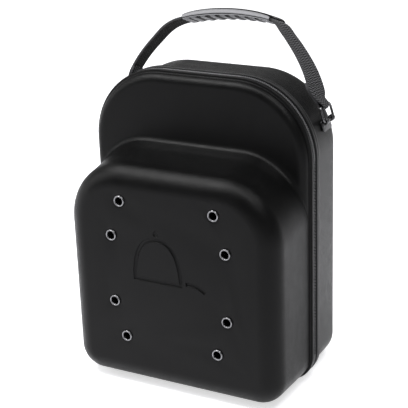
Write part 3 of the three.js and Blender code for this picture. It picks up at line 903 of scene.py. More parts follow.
@dataclass
class CaseShells:
    """The two moulded shells with their rims, in millimetres about the seam."""

    finishes: Finishes
    top_radius: float = 82
    bottom_radius: float = 32.6
    wall: float = 4
    seam_half: float = 4.6
    bottom_step: float = 2.4
    front_step: float = 3
    front_rim: float = 3.6
    plateau_depth: float = 18
    plateau_fillet: float = 8.6
    bulge_top: float = 255
    bulge_top_radius: float = 70
    bulge_top_slope: float = 9.5
    bulge_draft: float = 1.6
    bulge_bottom_draft: float = 1.4
    bulge_fillet: float = 21.6
    root_fillet: float = 6.5
    root_share: float = 0.5
    ledge_spread: float = 1.2
    back_step: float = 4
    back_rim: float = 7
    back_draft: float = 1
    back_fillet: float = 21
    fillet_steps: int = 12
    ledge_steps: int = 7
    wall_steps: int = 7
    rim_round: float = 0.9
    rim_sink: float = 1
    bead_share: float = 0.42
    bead_half: float = 0.5
    bead_depth: float = 0.35
    eyelet_hole: float = 5.2
    eyelet_dimple: float = 9.5
    dimple_depth: float = 0.5
    emblem: "Emblem | None" = None

    def rim_outline(self) -> Outline:
        """The outermost outline, that of both rims."""
        return Outline(CASE.half_width, CASE.height, 0, self.top_radius, self.bottom_radius)

    def wall_outline(self, step: float) -> Outline:
        """The outline of a shell's wall behind its rim.

        Args:
            step: How far the rim stands over the wall.

        Returns:
            The wall's outline.
        """
        return Outline(
            CASE.half_width - step, CASE.height - step, self.bottom_step, self.top_radius - step,
            self.bottom_radius - step,
        )

    def bulge_outline(self, depth: float) -> Outline:
        """The bulge's outline at a depth in front of the seam.

        Args:
            depth: The distance from the seam.

        Returns:
            The outline there.
        """
        run = CASE.front_depth - self.bulge_fillet - self.plateau_depth
        share = (depth - self.plateau_depth) / run
        kept = max(share, 0)
        return Outline(
            CASE.half_width - self.front_step - self.bulge_draft * kept,
            self.bulge_top - self.bulge_top_slope * share,
            self.bottom_step + self.bulge_bottom_draft * kept,
            self.bulge_top_radius - (self.bulge_draft + self.front_step) * share,
            self.bottom_radius - self.front_step - self.bulge_draft * kept,
        )

    def ledge_points(self, plateau: Outline, bulge: Outline) -> list[tuple[float, float]]:
        """Points of the plateau's outline, one for each point of the bulge's root.

        Args:
            plateau: The plateau's outline.
            bulge: The bulge's outline where it leaves the plateau.

        Returns:
            The points as x and z, counter-clockwise from the bottom middle.
        """
        corner_start = STEPS.bottom + STEPS.bottom_corner + STEPS.side
        straight = (plateau.top - plateau.top_radius) - (bulge.top - bulge.top_radius)
        arc = plateau.top_radius * math.pi / 2
        centre_x, centre_z = plateau.half - plateau.top_radius, plateau.top - plateau.top_radius
        right = []
        for index, (x, z, _) in enumerate(bulge.right_half(STEPS)):
            if index < corner_start:
                right.append((x, z))
            elif index < corner_start + STEPS.top_corner:
                run = (index - corner_start) / STEPS.top_corner * (straight + arc)
                if run < straight:
                    right.append((plateau.half, centre_z - straight + run))
                else:
                    angle = (run - straight) / plateau.top_radius
                    right.append((
                        centre_x + plateau.top_radius * math.cos(angle),
                        centre_z + plateau.top_radius * math.sin(angle),
                    ))
            else:
                share = 1 - (index - corner_start - STEPS.top_corner) / STEPS.top
                right.append((centre_x * share, plateau.top))
        return right + [(-x, z) for x, z in right[-2:0:-1]]

    def front_rings(self, wall: float) -> list[list[Vector]]:
        """The front shell's sections from the seam to the face, drawn in by a wall.

        Args:
            wall: 0 for the outside, the wall's thickness for the inside.

        Returns:
            The sections in metres.
        """
        plateau = self.wall_outline(self.front_step).drawn_in(wall)
        root = self.bulge_outline(self.plateau_depth).drawn_in(wall)
        depth = self.plateau_depth - wall
        fillet = self.plateau_fillet - wall
        outer = self.ledge_points(plateau, root)
        inner = root.whole(STEPS)

        def ledge_depth(x: float, z: float) -> float:
            """Depth of the plateau at a place, over its rounded edge."""
            inset = min(max(plateau.inset_at(x, z), 0), fillet)
            return depth - fillet + math.sqrt(fillet ** 2 - (fillet - inset) ** 2)

        rounds = [
            min(self.root_fillet + wall, self.root_share * max(plateau.inset_at(x, z), 0))
            for x, z, _ in inner
        ]
        feet = [
            (x + round_ * math.cos(angle), z + round_ * math.sin(angle))
            for (x, z, angle), round_ in zip(inner, rounds)
        ]
        rings = [
            [(x, self.seam_half, z) for x, z in outer],
            [(x, (self.seam_half + depth - fillet) / 2, z) for x, z in outer],
        ]
        for k in range(self.fillet_steps + self.ledge_steps):
            ring = []
            for (px, pz), (fx, fz) in zip(outer, feet):
                width = math.hypot(fx - px, fz - pz)
                turn = min(k / self.fillet_steps, 1) * math.pi / 2
                spread = self.ledge_spread * fillet * (1 - math.cos(turn))
                rounded = min(spread / max(width, MERGE_REACH), 0.5 * turn)
                rest = max(k - self.fillet_steps, 0) / (self.ledge_steps - 1)
                share = rounded + (1 - rounded) * rest
                x, z = px + (fx - px) * share, pz + (fz - pz) * share
                ring.append((x, ledge_depth(x, z), z))
            rings.append(ring)
        start = self.fillet_steps // 2
        for k in range(1, start + 1):
            turn = k / start * math.pi / 2
            rings.append([
                (
                    x + round_ * (1 - math.sin(turn)) * math.cos(angle),
                    ledge_depth(x, z) + round_ * (1 - math.cos(turn)),
                    z + round_ * (1 - math.sin(turn)) * math.sin(angle),
                )
                for (x, z, angle), round_ in zip(inner, rounds)
            ])
        top = CASE.front_depth - self.bulge_fillet
        roots = [y for _, y, _ in rings[-1]]
        for k in range(1, self.wall_steps + 1):
            share = k / self.wall_steps
            ring = []
            for j, low in enumerate(roots):
                y = low + (top - low) * share
                x, z, _ = self.bulge_outline(y).drawn_in(wall).whole(STEPS)[j]
                ring.append((x, y, z))
            rings.append(ring)
        edge = self.bulge_outline(top).drawn_in(wall)
        rings += self.fillet_rings(edge, CASE.front_depth - wall, self.bulge_fillet - wall)
        return [[CASE.point(x, -y, z) for x, y, z in ring] for ring in rings]

    def fillet_rings(
        self, edge: Outline, face: float, radius: float
    ) -> list[list[tuple[float, float, float]]]:
        """Sections of a rounded edge from a wall to a flat face, with a flat margin on the face.

        Args:
            edge: The outline where the rounding starts.
            face: Depth of the face.
            radius: Radius of the rounding.

        Returns:
            The sections as x, depth and z.
        """
        rings = []
        for k in range(1, self.fillet_steps + 1):
            turn = k / self.fillet_steps * math.pi / 2
            outline = edge.drawn_in(radius * (1 - math.cos(turn)))
            y = face - radius * (1 - math.sin(turn))
            rings.append([(x, y, z) for x, z, _ in outline.whole(STEPS)])
        margin = edge.drawn_in(radius + self.rim_round)
        rings.append([(x, face, z) for x, z, _ in margin.whole(STEPS)])
        return rings

    def back_rings(self, wall: float) -> list[list[Vector]]:
        """The back shell's sections from the seam to its face, drawn in by a wall.

        Args:
            wall: 0 for the outside, the wall's thickness for the inside.

        Returns:
            The sections in metres.
        """
        start = self.wall_outline(self.back_step).drawn_in(wall)
        end = self.wall_outline(self.back_step + self.back_draft).drawn_in(wall)
        top = CASE.back_depth - self.back_fillet
        rings = [[(x, self.seam_half, z) for x, z, _ in start.whole(STEPS)]]
        for k in range(1, self.wall_steps + 1):
            share = k / self.wall_steps
            y = self.seam_half + (top - self.seam_half) * share
            ring = []
            for (x0, z0, _), (x1, z1, _) in zip(start.whole(STEPS), end.whole(STEPS)):
                ring.append((x0 + (x1 - x0) * share, y, z0 + (z1 - z0) * share))
            rings.append(ring)
        rings += self.fillet_rings(end, CASE.back_depth - wall, self.back_fillet - wall)
        return [[CASE.point(x, y, z) for x, y, z in ring] for ring in rings]

    def rim(self, half: Half, width: float, step: float) -> bpy.types.Object:
        """One shell's rim, a rounded band round the seam with a shallow bead line.

        Args:
            half: Which shell carries it.
            width: Its width along Y.
            step: How far it stands over the wall.

        Returns:
            The rim.
        """
        outline = self.rim_outline()
        near, far, soft = self.seam_half, self.seam_half + width, self.rim_round
        sunk = step + self.rim_sink
        turns = (0, 0.5, 1.0, math.pi / 2)
        section = [(sunk, near), (soft, near)]
        section += [
            (soft * (1 - math.sin(t)), near + soft * (1 - math.cos(t))) for t in turns[1:]
        ]
        if half is Half.BACK:
            line, deep = near + width * self.bead_share, self.bead_depth
            section += [(0, line - self.bead_half), (deep, line - 0.15)]
            section += [(deep, line + 0.15), (0, line + self.bead_half)]
        section += [(soft * (1 - math.cos(t)), far - soft * (1 - math.sin(t))) for t in turns]
        section += [(step - soft, far), (step - 0.2, far + 0.25)]
        section += [(step + 0.2, far + soft), (sunk, far + soft)]
        rings = [ring_at(outline.drawn_in(inset), half.value * y) for inset, y in section]
        piece = loft(f"{half.name.lower()}_rim", rings, closed=True)
        smooth(piece, RIM_ANGLE)
        return piece

    def hole_cutter(self, x: float, z: float) -> bpy.types.Object:
        """The body of an eyelet's hole, with the dimple that the press leaves round it.

        Args:
            x: The eyelet's place across.
            z: Its height.

        Returns:
            The body to cut away.
        """
        rim, hole, deep = self.eyelet_dimple, self.eyelet_hole, self.dimple_depth
        profile = [(0, -3), (rim, -3), (rim, -0.02), (rim * 0.8, 0.12)]
        profile += [(hole + 1, deep), (hole, 0.55)]
        profile += [(hole, 3 * self.wall), (0, 3 * self.wall)]
        return spun("hole", profile, CASE.point(x, -CASE.front_depth, z), 40)

    def build(self, eyelets: Sequence[tuple[float, float]]) -> None:
        """Builds both shells and their rims.

        Args:
            eyelets: The eyelets' places on the front face, as x and z in millimetres.
        """
        front_rings = [*reversed(self.front_rings(self.wall)), *self.front_rings(0)]
        front = loft("front_shell_cloth", front_rings)
        cutters = [self.hole_cutter(x, z) for x, z in eyelets]
        if self.emblem:
            cutters += self.emblem.cutters()
        cut(front, join(cutters, "face_cutters"))
        box_unwrap(front)
        smooth(front)
        dress(front, self.finishes.shell, "moulded_shell", ["front_shell"])
        back_rings = [*reversed(self.back_rings(self.wall)), *self.back_rings(0)]
        back = loft("back_shell_cloth", back_rings)
        box_unwrap(back)
        smooth(back)
        dress(back, self.finishes.back_shell, "moulded_shell", ["back_shell"])
        front_rim = self.rim(Half.FRONT, self.front_rim, self.front_step)
        dress(front_rim, self.finishes.front_rim, "moulded_shell")
        back_rim = self.rim(Half.BACK, self.back_rim, self.back_step)
        dress(back_rim, self.finishes.back_rim, "moulded_shell")


@dataclass
class Emblem:
    """A plain cap pictogram pressed into the front face as shallow grooves."""

    width: float = 84
    height: float = 46
    line: float = 4.2
    depth: float = 1.3
    centre: float = 150
    crown_right: float = 0.2
    curve_steps: int = 14
    round_steps: int = 8

    def bezier(self, points: Sequence[tuple[float, float]]) -> list[Vector]:
        """Points along a cubic curve.

        Args:
            points: Its two ends, with the two handles between them.

        Returns:
            The curve's points without its last one.
        """
        a, b, c, d = (Vector(p) for p in points)
        shares = [i / self.curve_steps for i in range(self.curve_steps)]
        return [
            a * (1 - t) ** 3 + b * 3 * t * (1 - t) ** 2 + c * 3 * t ** 2 * (1 - t) + d * t ** 3
            for t in shares
        ]

    def groove(self, name: str, path: Sequence[Vector], closed: bool) -> bpy.types.Object:
        """A rounded groove's body along a path on the face.

        Args:
            name: The name of the new object.
            path: The groove's middle line, as x and height above the pictogram's foot.
            closed: True where the path meets itself.

        Returns:
            The body to cut away.
        """
        foot = self.centre - self.height / 2
        rings = []
        count = len(path)
        for i, point in enumerate(path):
            before = path[(i - 1) % count] if closed or i else point
            after = path[(i + 1) % count] if closed or i < count - 1 else point
            tangent = (after - before).normalized()
            normal = Vector((-tangent.y, tangent.x))
            ring = []
            for step in range(self.round_steps + 1):
                turn = math.pi * step / self.round_steps
                place = point - normal * self.line / 2 * math.cos(turn)
                y = self.depth * math.sin(turn) - CASE.front_depth
                ring.append(CASE.point(place.x, y, foot + place.y))
            for side in (1, -1):
                place = point + normal * self.line * 0.6 * side
                ring.append(CASE.point(place.x, -CASE.front_depth - self.depth, foot + place.y))
            rings.append(ring)
        return loft(name, rings, closed=closed)

    def cutters(self) -> list[bpy.types.Object]:
        """The grooves of the crown, the peak and the button.

        Returns:
            The bodies to cut away.
        """
        left = -self.width / 2 + self.line / 2
        right = self.width * self.crown_right - self.line / 2
        middle, reach, rise = (left + right) / 2, (right - left) / 2, self.height
        crown = self.bezier([
            (left, 0),
            (middle - reach * 0.95, rise * 0.95),
            (middle - reach * 0.35, rise),
            (middle, rise),
        ])
        crown += self.bezier([
            (middle, rise),
            (middle + reach * 0.45, rise),
            (middle + reach * 0.95, rise * 0.85),
            (right, 0),
        ])
        base_steps = self.curve_steps // 2
        crown += [Vector((right + (left - right) * i / base_steps, 0)) for i in range(base_steps)]
        peak = self.bezier([
            (right + self.line * 1.3, self.line * 0.8),
            (self.width * 0.34, self.line),
            (self.width * 0.44, self.line * 0.4),
            (self.width * 0.52, -self.line),
        ])
        radius = self.line * 0.8
        button = [(0, -1), (radius * 1.1, -1), (radius, 0)]
        button += [(radius * 0.7, self.depth * 0.8), (0, self.depth)]
        foot = self.centre - self.height / 2
        button_place = CASE.point(middle, -CASE.front_depth, foot + rise + self.line * 1.7)
        return [
            self.groove("crown_groove", crown, True),
            self.groove("peak_groove", peak, False),
            spun("button_hollow", button, button_place, 24),
        ]


@dataclass
class ZipFastener:
    """The zip along the seam: tapes, teeth and slider, in millimetres."""

    finishes: Finishes
    outline: Outline
    seam_half: float = 4.6
    tape_inset: float = 3
    tape_thickness: float = 1
    tape_start: float = 0.2
    tape_end_gap: float = 0.1
    tape_fold: float = 0.35
    tape_fold_end: float = 2.4
    hinge_low: float = 80
    hinge_high: float = 200
    tooth_pitch: float = 1.3
    tooth_size: tuple[float, float, float] = (0.85, 2.0, 1.5)
    tooth_shift: float = 0.5
    tooth_inset: float = 1.35
    tooth_round: float = 0.28
    cord_radius: float = 0.45
    cord_inset: float = 0.5
    cord_offset: float = 1.9
    cord_sides: int = 8
    slider_size: tuple[float, float, float] = (1.6, 7.8, 12.0)
    slider_taper: float = 0.72
    pull_thickness: float = 1.3
    pull_width: float = 6
    pull_short: float = 3
    pull_drop: float = 1.5
    pull_taper: float = 0.6
    pull_rim: float = 1.1
    pull_hollow: float = 0.4
    hinge_cuts: int = 11
    hinge_middle: float = 2.6
    hinge_fold: float = 0.35

    def on_left_side(self, x: float) -> bool:
        """True on the outline's straight left side, where the hinge is."""
        return abs(x + self.outline.half) < NEAR

    def path(self, pitch: float) -> list[tuple[float, float, float]]:
        """Even places along the zip, as x, z and the outward direction's angle.

        Args:
            pitch: Distance from place to place.

        Returns:
            The places from the hinge's upper end over the top and round to its lower end.
        """
        fine = OutlineSteps(60, 60, 120, 120, 60)
        walk = list(reversed(self.outline.whole(fine)))
        start = next(
            i for i, (x, z, _) in enumerate(walk) if z >= self.hinge_high and self.on_left_side(x)
        )
        walk = walk[start:] + walk[:start]
        kept, run, last = [], pitch, walk[0]
        for place in walk:
            run += math.hypot(place[0] - last[0], place[1] - last[1])
            last = place
            beside_hinge = self.hinge_low < place[1] < self.hinge_high
            if run >= pitch and not (beside_hinge and self.on_left_side(place[0])):
                kept.append(place)
                run = 0.0
        return kept

    def band(
        self, name: str, section: Sequence[tuple[float, float]], pitch: float = 4
    ) -> bpy.types.Object:
        """A strip along the zip.

        Args:
            name: The name of the new object.
            section: Its closed section, as inset and y.
            pitch: Length of its steps.

        Returns:
            The strip.
        """
        rings = []
        for x, z, angle in self.path(pitch):
            rings.append([
                CASE.point(x - inset * math.cos(angle), y, z - inset * math.sin(angle))
                for inset, y in section
            ])
        return loft(name, rings)

    def tapes(self) -> None:
        """The two tapes, each with a doubled edge beside the teeth."""
        for half in Half:
            low, high = self.tape_inset, self.tape_inset + self.tape_thickness
            near, outer = self.tape_start, self.seam_half - self.tape_end_gap
            fold = low - self.tape_fold
            section = [
                (high, near), (high, outer), (low + 0.2, outer), (low, outer - 0.3),
                (low, self.tape_fold_end), (fold, 2.2), (fold, 0.5), (low, near),
            ]
            placed = [(inset, half.value * y) for inset, y in section]
            piece = self.band(f"tape_{half.name.lower()}", placed)
            smooth(piece)
            dress(piece, self.finishes.tape, "zip_tape", [f"zip_tape_{half.name.lower()}"])

    def teeth(self) -> None:
        """The closed teeth: rounded bars that reach across the middle from both sides in turn."""
        tooth = block("tooth", Vector((0, 0, 0)), self.tooth_size)
        with editing(tooth, "EDGE"):
            bpy.ops.mesh.select_all(action="SELECT")
            bpy.ops.mesh.bevel(offset=self.tooth_round * MM, segments=1, affect="EDGES")
        places = []
        for i, (x, z, angle) in enumerate(self.path(self.tooth_pitch / 2)):
            side = 1 if i % 2 else -1
            inner_x, inner_z = self.tooth_inset * math.cos(angle), self.tooth_inset * math.sin(angle)
            spot = CASE.point(x - inner_x, side * self.tooth_shift, z - inner_z)
            places.append(Matrix.Translation(spot) @ Matrix.Rotation(math.pi / 2 - angle, 4, "Y"))
        piece = copies("zip_teeth", tooth, places)
        smooth(piece, RIM_ANGLE)
        dress(piece, self.finishes.coil, "zip_coil", ["zip_coil"])
        for half in Half:
            turns = [i / self.cord_sides * 2 * math.pi for i in range(self.cord_sides)]
            section = [
                (
                    self.tooth_inset + self.cord_inset + self.cord_radius * math.cos(t),
                    half.value * self.cord_offset + self.cord_radius * math.sin(t),
                )
                for t in turns
            ]
            cord = self.band(f"zip_cord_{half.name.lower()}", section)
            smooth(cord, ROUND_ANGLE)
            dress(cord, self.finishes.tape, "zip_tape")

    def slider(self) -> None:
        """The slider and its pull on the left side, modelled from boxes."""
        low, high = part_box("zip_slider")
        centre = (low + high) / 2
        thickness, _, length = self.slider_size
        body_height = (high.z / MM - length / 2) * MM
        body_centre = Vector((high.x - thickness / 2 * MM, centre.y, body_height))
        body = block("slider_body", body_centre, self.slider_size)
        with editing(body, "FACE"):
            pick(body, lambda _, normal: normal.z < -0.9)
            bpy.ops.transform.resize(value=(1, self.slider_taper, 1), center_override=centre)
        bevelled(body, 0.45, 3)
        pull_height = (low.z + high.z) / 2 - self.pull_drop * MM
        pull_centre = Vector((low.x + 0.7 * MM, centre.y, pull_height))
        pull_length = (high.z - low.z) / MM - self.pull_short
        pull = block("slider_pull", pull_centre, (self.pull_thickness, self.pull_width, pull_length))
        with editing(pull, "FACE"):
            pick(pull, lambda _, normal: normal.z > 0.9)
            bpy.ops.transform.resize(value=(1, self.pull_taper, 1), center_override=pull_centre)
            pick(pull, lambda _, normal: normal.x < -0.9)
            bpy.ops.mesh.inset(thickness=self.pull_rim * MM)
            inwards = {"value": (self.pull_hollow * MM, 0, 0)}
            bpy.ops.mesh.extrude_region_move(TRANSFORM_OT_translate=inwards)
        bevelled(pull, 0.3, 2)
        piece = join([body, pull], "slider")
        smooth(piece)
        dress(piece, self.finishes.slider, "slider_metal", ["zip_slider"])

    def hinge(self) -> None:
        """The cloth strip on the left side, with two sewn folds along it."""
        low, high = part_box("hinge_strip")
        size = (high - low) / MM
        piece = block("hinge_cloth_strip", (low + high) / 2, size)
        with editing(piece, "FACE"):
            bpy.ops.mesh.select_all(action="SELECT")
            bpy.ops.mesh.subdivide(number_cuts=self.hinge_cuts)
            middle, reach = (low.y + high.y) / 2, self.hinge_middle * MM
            pick(piece, lambda centre, normal: normal.x < -0.9 and abs(centre.y - middle) > reach)
            bpy.ops.transform.translate(value=(-self.hinge_fold * MM, 0, 0))
        bevelled(piece, 0.15, 1, 25)
        smooth(piece)
        dress(piece, self.finishes.tape, "hinge_cloth", ["hinge_strip"])

    def build(self) -> None:
        """Builds the whole fastener."""
        self.tapes()
        self.teeth()
        self.slider()
        self.hinge()


@dataclass
class VentEyelets:
    """The rolled metal eyelets in the front face, in millimetres."""

    finishes: Finishes
    outer: float = 6.1
    hole: float = 4.2
    bead: float = 1.7
    bead_steps: int = 10
    seat: float = 0.35
    wall: float = 4
    count: int = 8
    sides: int = 48

    def places(self) -> list[tuple[float, float]]:
        """The eyelets' places on the face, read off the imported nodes.

        Returns:
            The places as x and z.
        """
        found = []
        for number in range(1, self.count + 1):
            low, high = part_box(f"eyelet_{number}")
            found.append(((low.x + high.x) / 2 / MM - CASE.centre_x, (low.z + high.z) / 2 / MM))
        return found

    def profile(self) -> list[tuple[float, float]]:
        """The closed section: a rolled bead outside, a barrel and a curl inside the wall.

        Returns:
            Points as radius and depth behind the face.
        """
        middle, half = (self.outer + self.hole) / 2, (self.outer - self.hole) / 2
        bead = []
        for i in range(self.bead_steps + 1):
            turn = i / self.bead_steps * math.pi
            bead.append((middle + half * math.cos(turn), -self.bead * math.sin(turn) + self.seat))
        inside, barrel = self.wall + 0.4, self.hole + 0.7
        curl = [
            (self.hole, inside), (self.hole + 0.2, inside + 0.9), (middle, inside + 1.2),
            (self.outer, inside + 0.7), (self.outer, inside + 0.2), (barrel, inside), (barrel, 0.5),
        ]
        return bead + curl

    def build(self) -> None:
        """Builds one eyelet for each packed one."""
        for number, (x, z) in enumerate(self.places(), 1):
            centre = CASE.point(x, -CASE.front_depth, z)
            piece = spun(f"vent_eyelet_{number}", self.profile(), centre, self.sides)
            smooth(piece, ROUND_ANGLE)
            dress(piece, self.finishes.eyelet, "eyelet_metal", [f"eyelet_{number}"])


@dataclass(frozen=True)
class StrapCourse:
    """The strap's leaning arch: its middle line from link to link, in millimetres."""

    lean: float = math.radians(20)
    rise: float = 86.9
    half_span: float = 117
    depth: float = 39.6
    width: float = 30
    thickness: float = 2
    end_width: float = 13
    flare: float = 0.002
    narrowing: float = 18
    link_wire: float = 1.4
    link_corner: float = 3
    link_gap: float = 0.35
    right: tuple[tuple[float, float], ...] = (
        (0.171, 1.002), (0.342, 0.985), (0.457, 0.959), (0.513, 0.925), (0.543, 0.890), (0.580, 0.835),
        (0.647, 0.743), (0.723, 0.628), (0.791, 0.513), (0.849, 0.398), (0.896, 0.283), (0.933, 0.168),
        (0.959, 0.087), (1.0, 0.0),
    )
    left: tuple[tuple[float, float], ...] = (
        (0.171, 0.979), (0.342, 0.938), (0.449, 0.896), (0.520, 0.863), (0.590, 0.812), (0.651, 0.743),
        (0.723, 0.628), (0.791, 0.513), (0.849, 0.398), (0.896, 0.283), (0.933, 0.168), (0.959, 0.087),
        (1.0, 0.0),
    )

    @cached_property
    def bar_height(self) -> float:
        """Height of the links' upper bars, read off a packed link."""
        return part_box("link_right")[1].z / MM - self.link_wire

    @cached_property
    def eye_depth(self) -> float:
        """Distance of the strap's folded ends behind the seam, read off a packed link.

        Returns:
            The distance in millimetres.
        """
        low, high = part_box("link_right")
        width = (high.y - low.y) / MM
        centre = (low.y + high.y) / 2 / MM - CASE.seam_y
        return centre + (self.end_width - width) / 2 + self.link_wire + self.link_corner + self.link_gap

    def line(self) -> list[Vector]:
        """The middle line from the left link to the right one.

        Returns:
            Points as across and up, with even steps of about a millimetre.
        """
        knots = [Vector((-out * self.half_span, up * self.rise)) for out, up in reversed(self.left)]
        knots.append(Vector((0, self.rise)))
        knots += [Vector((out * self.half_span, up * self.rise)) for out, up in self.right]
        knots = [knots[0] * 2 - knots[1], *knots, knots[-1] * 2 - knots[-2]]
        points = []
        for a, b, c, d in zip(knots, knots[1:], knots[2:], knots[3:]):
            steps = max(2, round((c - b).length))
            points += [centripetal(a, b, c, d, i / steps) for i in range(steps)]
        points.append(knots[-2])
        return evenly(points, 1.0)

    def place(self, across: float, widthwise: float, up: float) -> Vector:
        """A point of the strap, in metres.

        Args:
            across: Distance from the middle plane.
            widthwise: Distance along the webbing's width, towards the back.
            up: Distance up the leaning arch.

        Returns:
            The point in the frame.
        """
        share = smoothstep(up / self.narrowing)
        turn = self.lean * share
        w = widthwise * (self.end_width / self.width * (1 - share) + share)
        foot = self.eye_depth * (1 - share) + self.depth * share
        return CASE.point(
            across * (1 + self.flare * w * share),
            foot + up * math.sin(self.lean) + w * math.cos(turn),
            self.bar_height + up * math.cos(self.lean) - w * math.sin(turn),
        )


def smoothstep(share: float) -> float:
    """A smooth rise from 0 to 1."""
    kept = min(max(share, 0.0), 1.0)
    return kept * kept * (3 - 2 * kept)


def centripetal(a: Vector, b: Vector, c: Vector, d: Vector, share: float) -> Vector:
    """A point on the centripetal curve through four points.

    Args:
        a: The point before the stretch.
        b: Its start.
        c: Its end.
        d: The point after it.
        share: How far along the stretch, from 0 to 1.

    Returns:
        The point.
    """
    t0 = 0.0
    t1 = t0 + math.sqrt((b - a).length)
    t2 = t1 + math.sqrt((c - b).length)
    t3 = t2 + math.sqrt((d - c).length)
    t = t1 + (t2 - t1) * share
    first = a * ((t1 - t) / (t1 - t0)) + b * ((t - t0) / (t1 - t0))
    second = b * ((t2 - t) / (t2 - t1)) + c * ((t - t1) / (t2 - t1))
    third = c * ((t3 - t) / (t3 - t2)) + d * ((t - t2) / (t3 - t2))
    low = first * ((t2 - t) / (t2 - t0)) + second * ((t - t0) / (t2 - t0))
    high = second * ((t3 - t) / (t3 - t1)) + third * ((t - t1) / (t3 - t1))
    return low * ((t2 - t) / (t2 - t1)) + high * ((t - t1) / (t2 - t1))


def evenly(points: Sequence[Vector], pitch: float) -> list[Vector]:
    """Points along a line at an even distance.

    Args:
        points: The line.
        pitch: The distance wished for, in the line's own unit.

    Returns:
        The points, with the line's own ends.
    """
    runs = lengths_along(points)
    count = max(2, round(runs[-1] / pitch))
    found, at = [], 0
    for i in range(count + 1):
        run = runs[-1] * i / count
        while at < len(points) - 2 and runs[at + 1] < run:
            at += 1
        share = (run - runs[at]) / max(runs[at + 1] - runs[at], 1e-9)
        found.append(points[at].lerp(points[at + 1], share))
    return found


def normals_along(points: Sequence[Vector]) -> list[Vector]:
    """The directions at a right angle to a flat line, to its left.

    Args:
        points: The line.

    Returns:
        One direction of length 1 for each point.
    """
    found = []
    for i in range(len(points)):
        step = points[min(i + 1, len(points) - 1)] - points[max(i - 1, 0)]
        found.append(Vector((-step.y, step.x)).normalized())
    return found


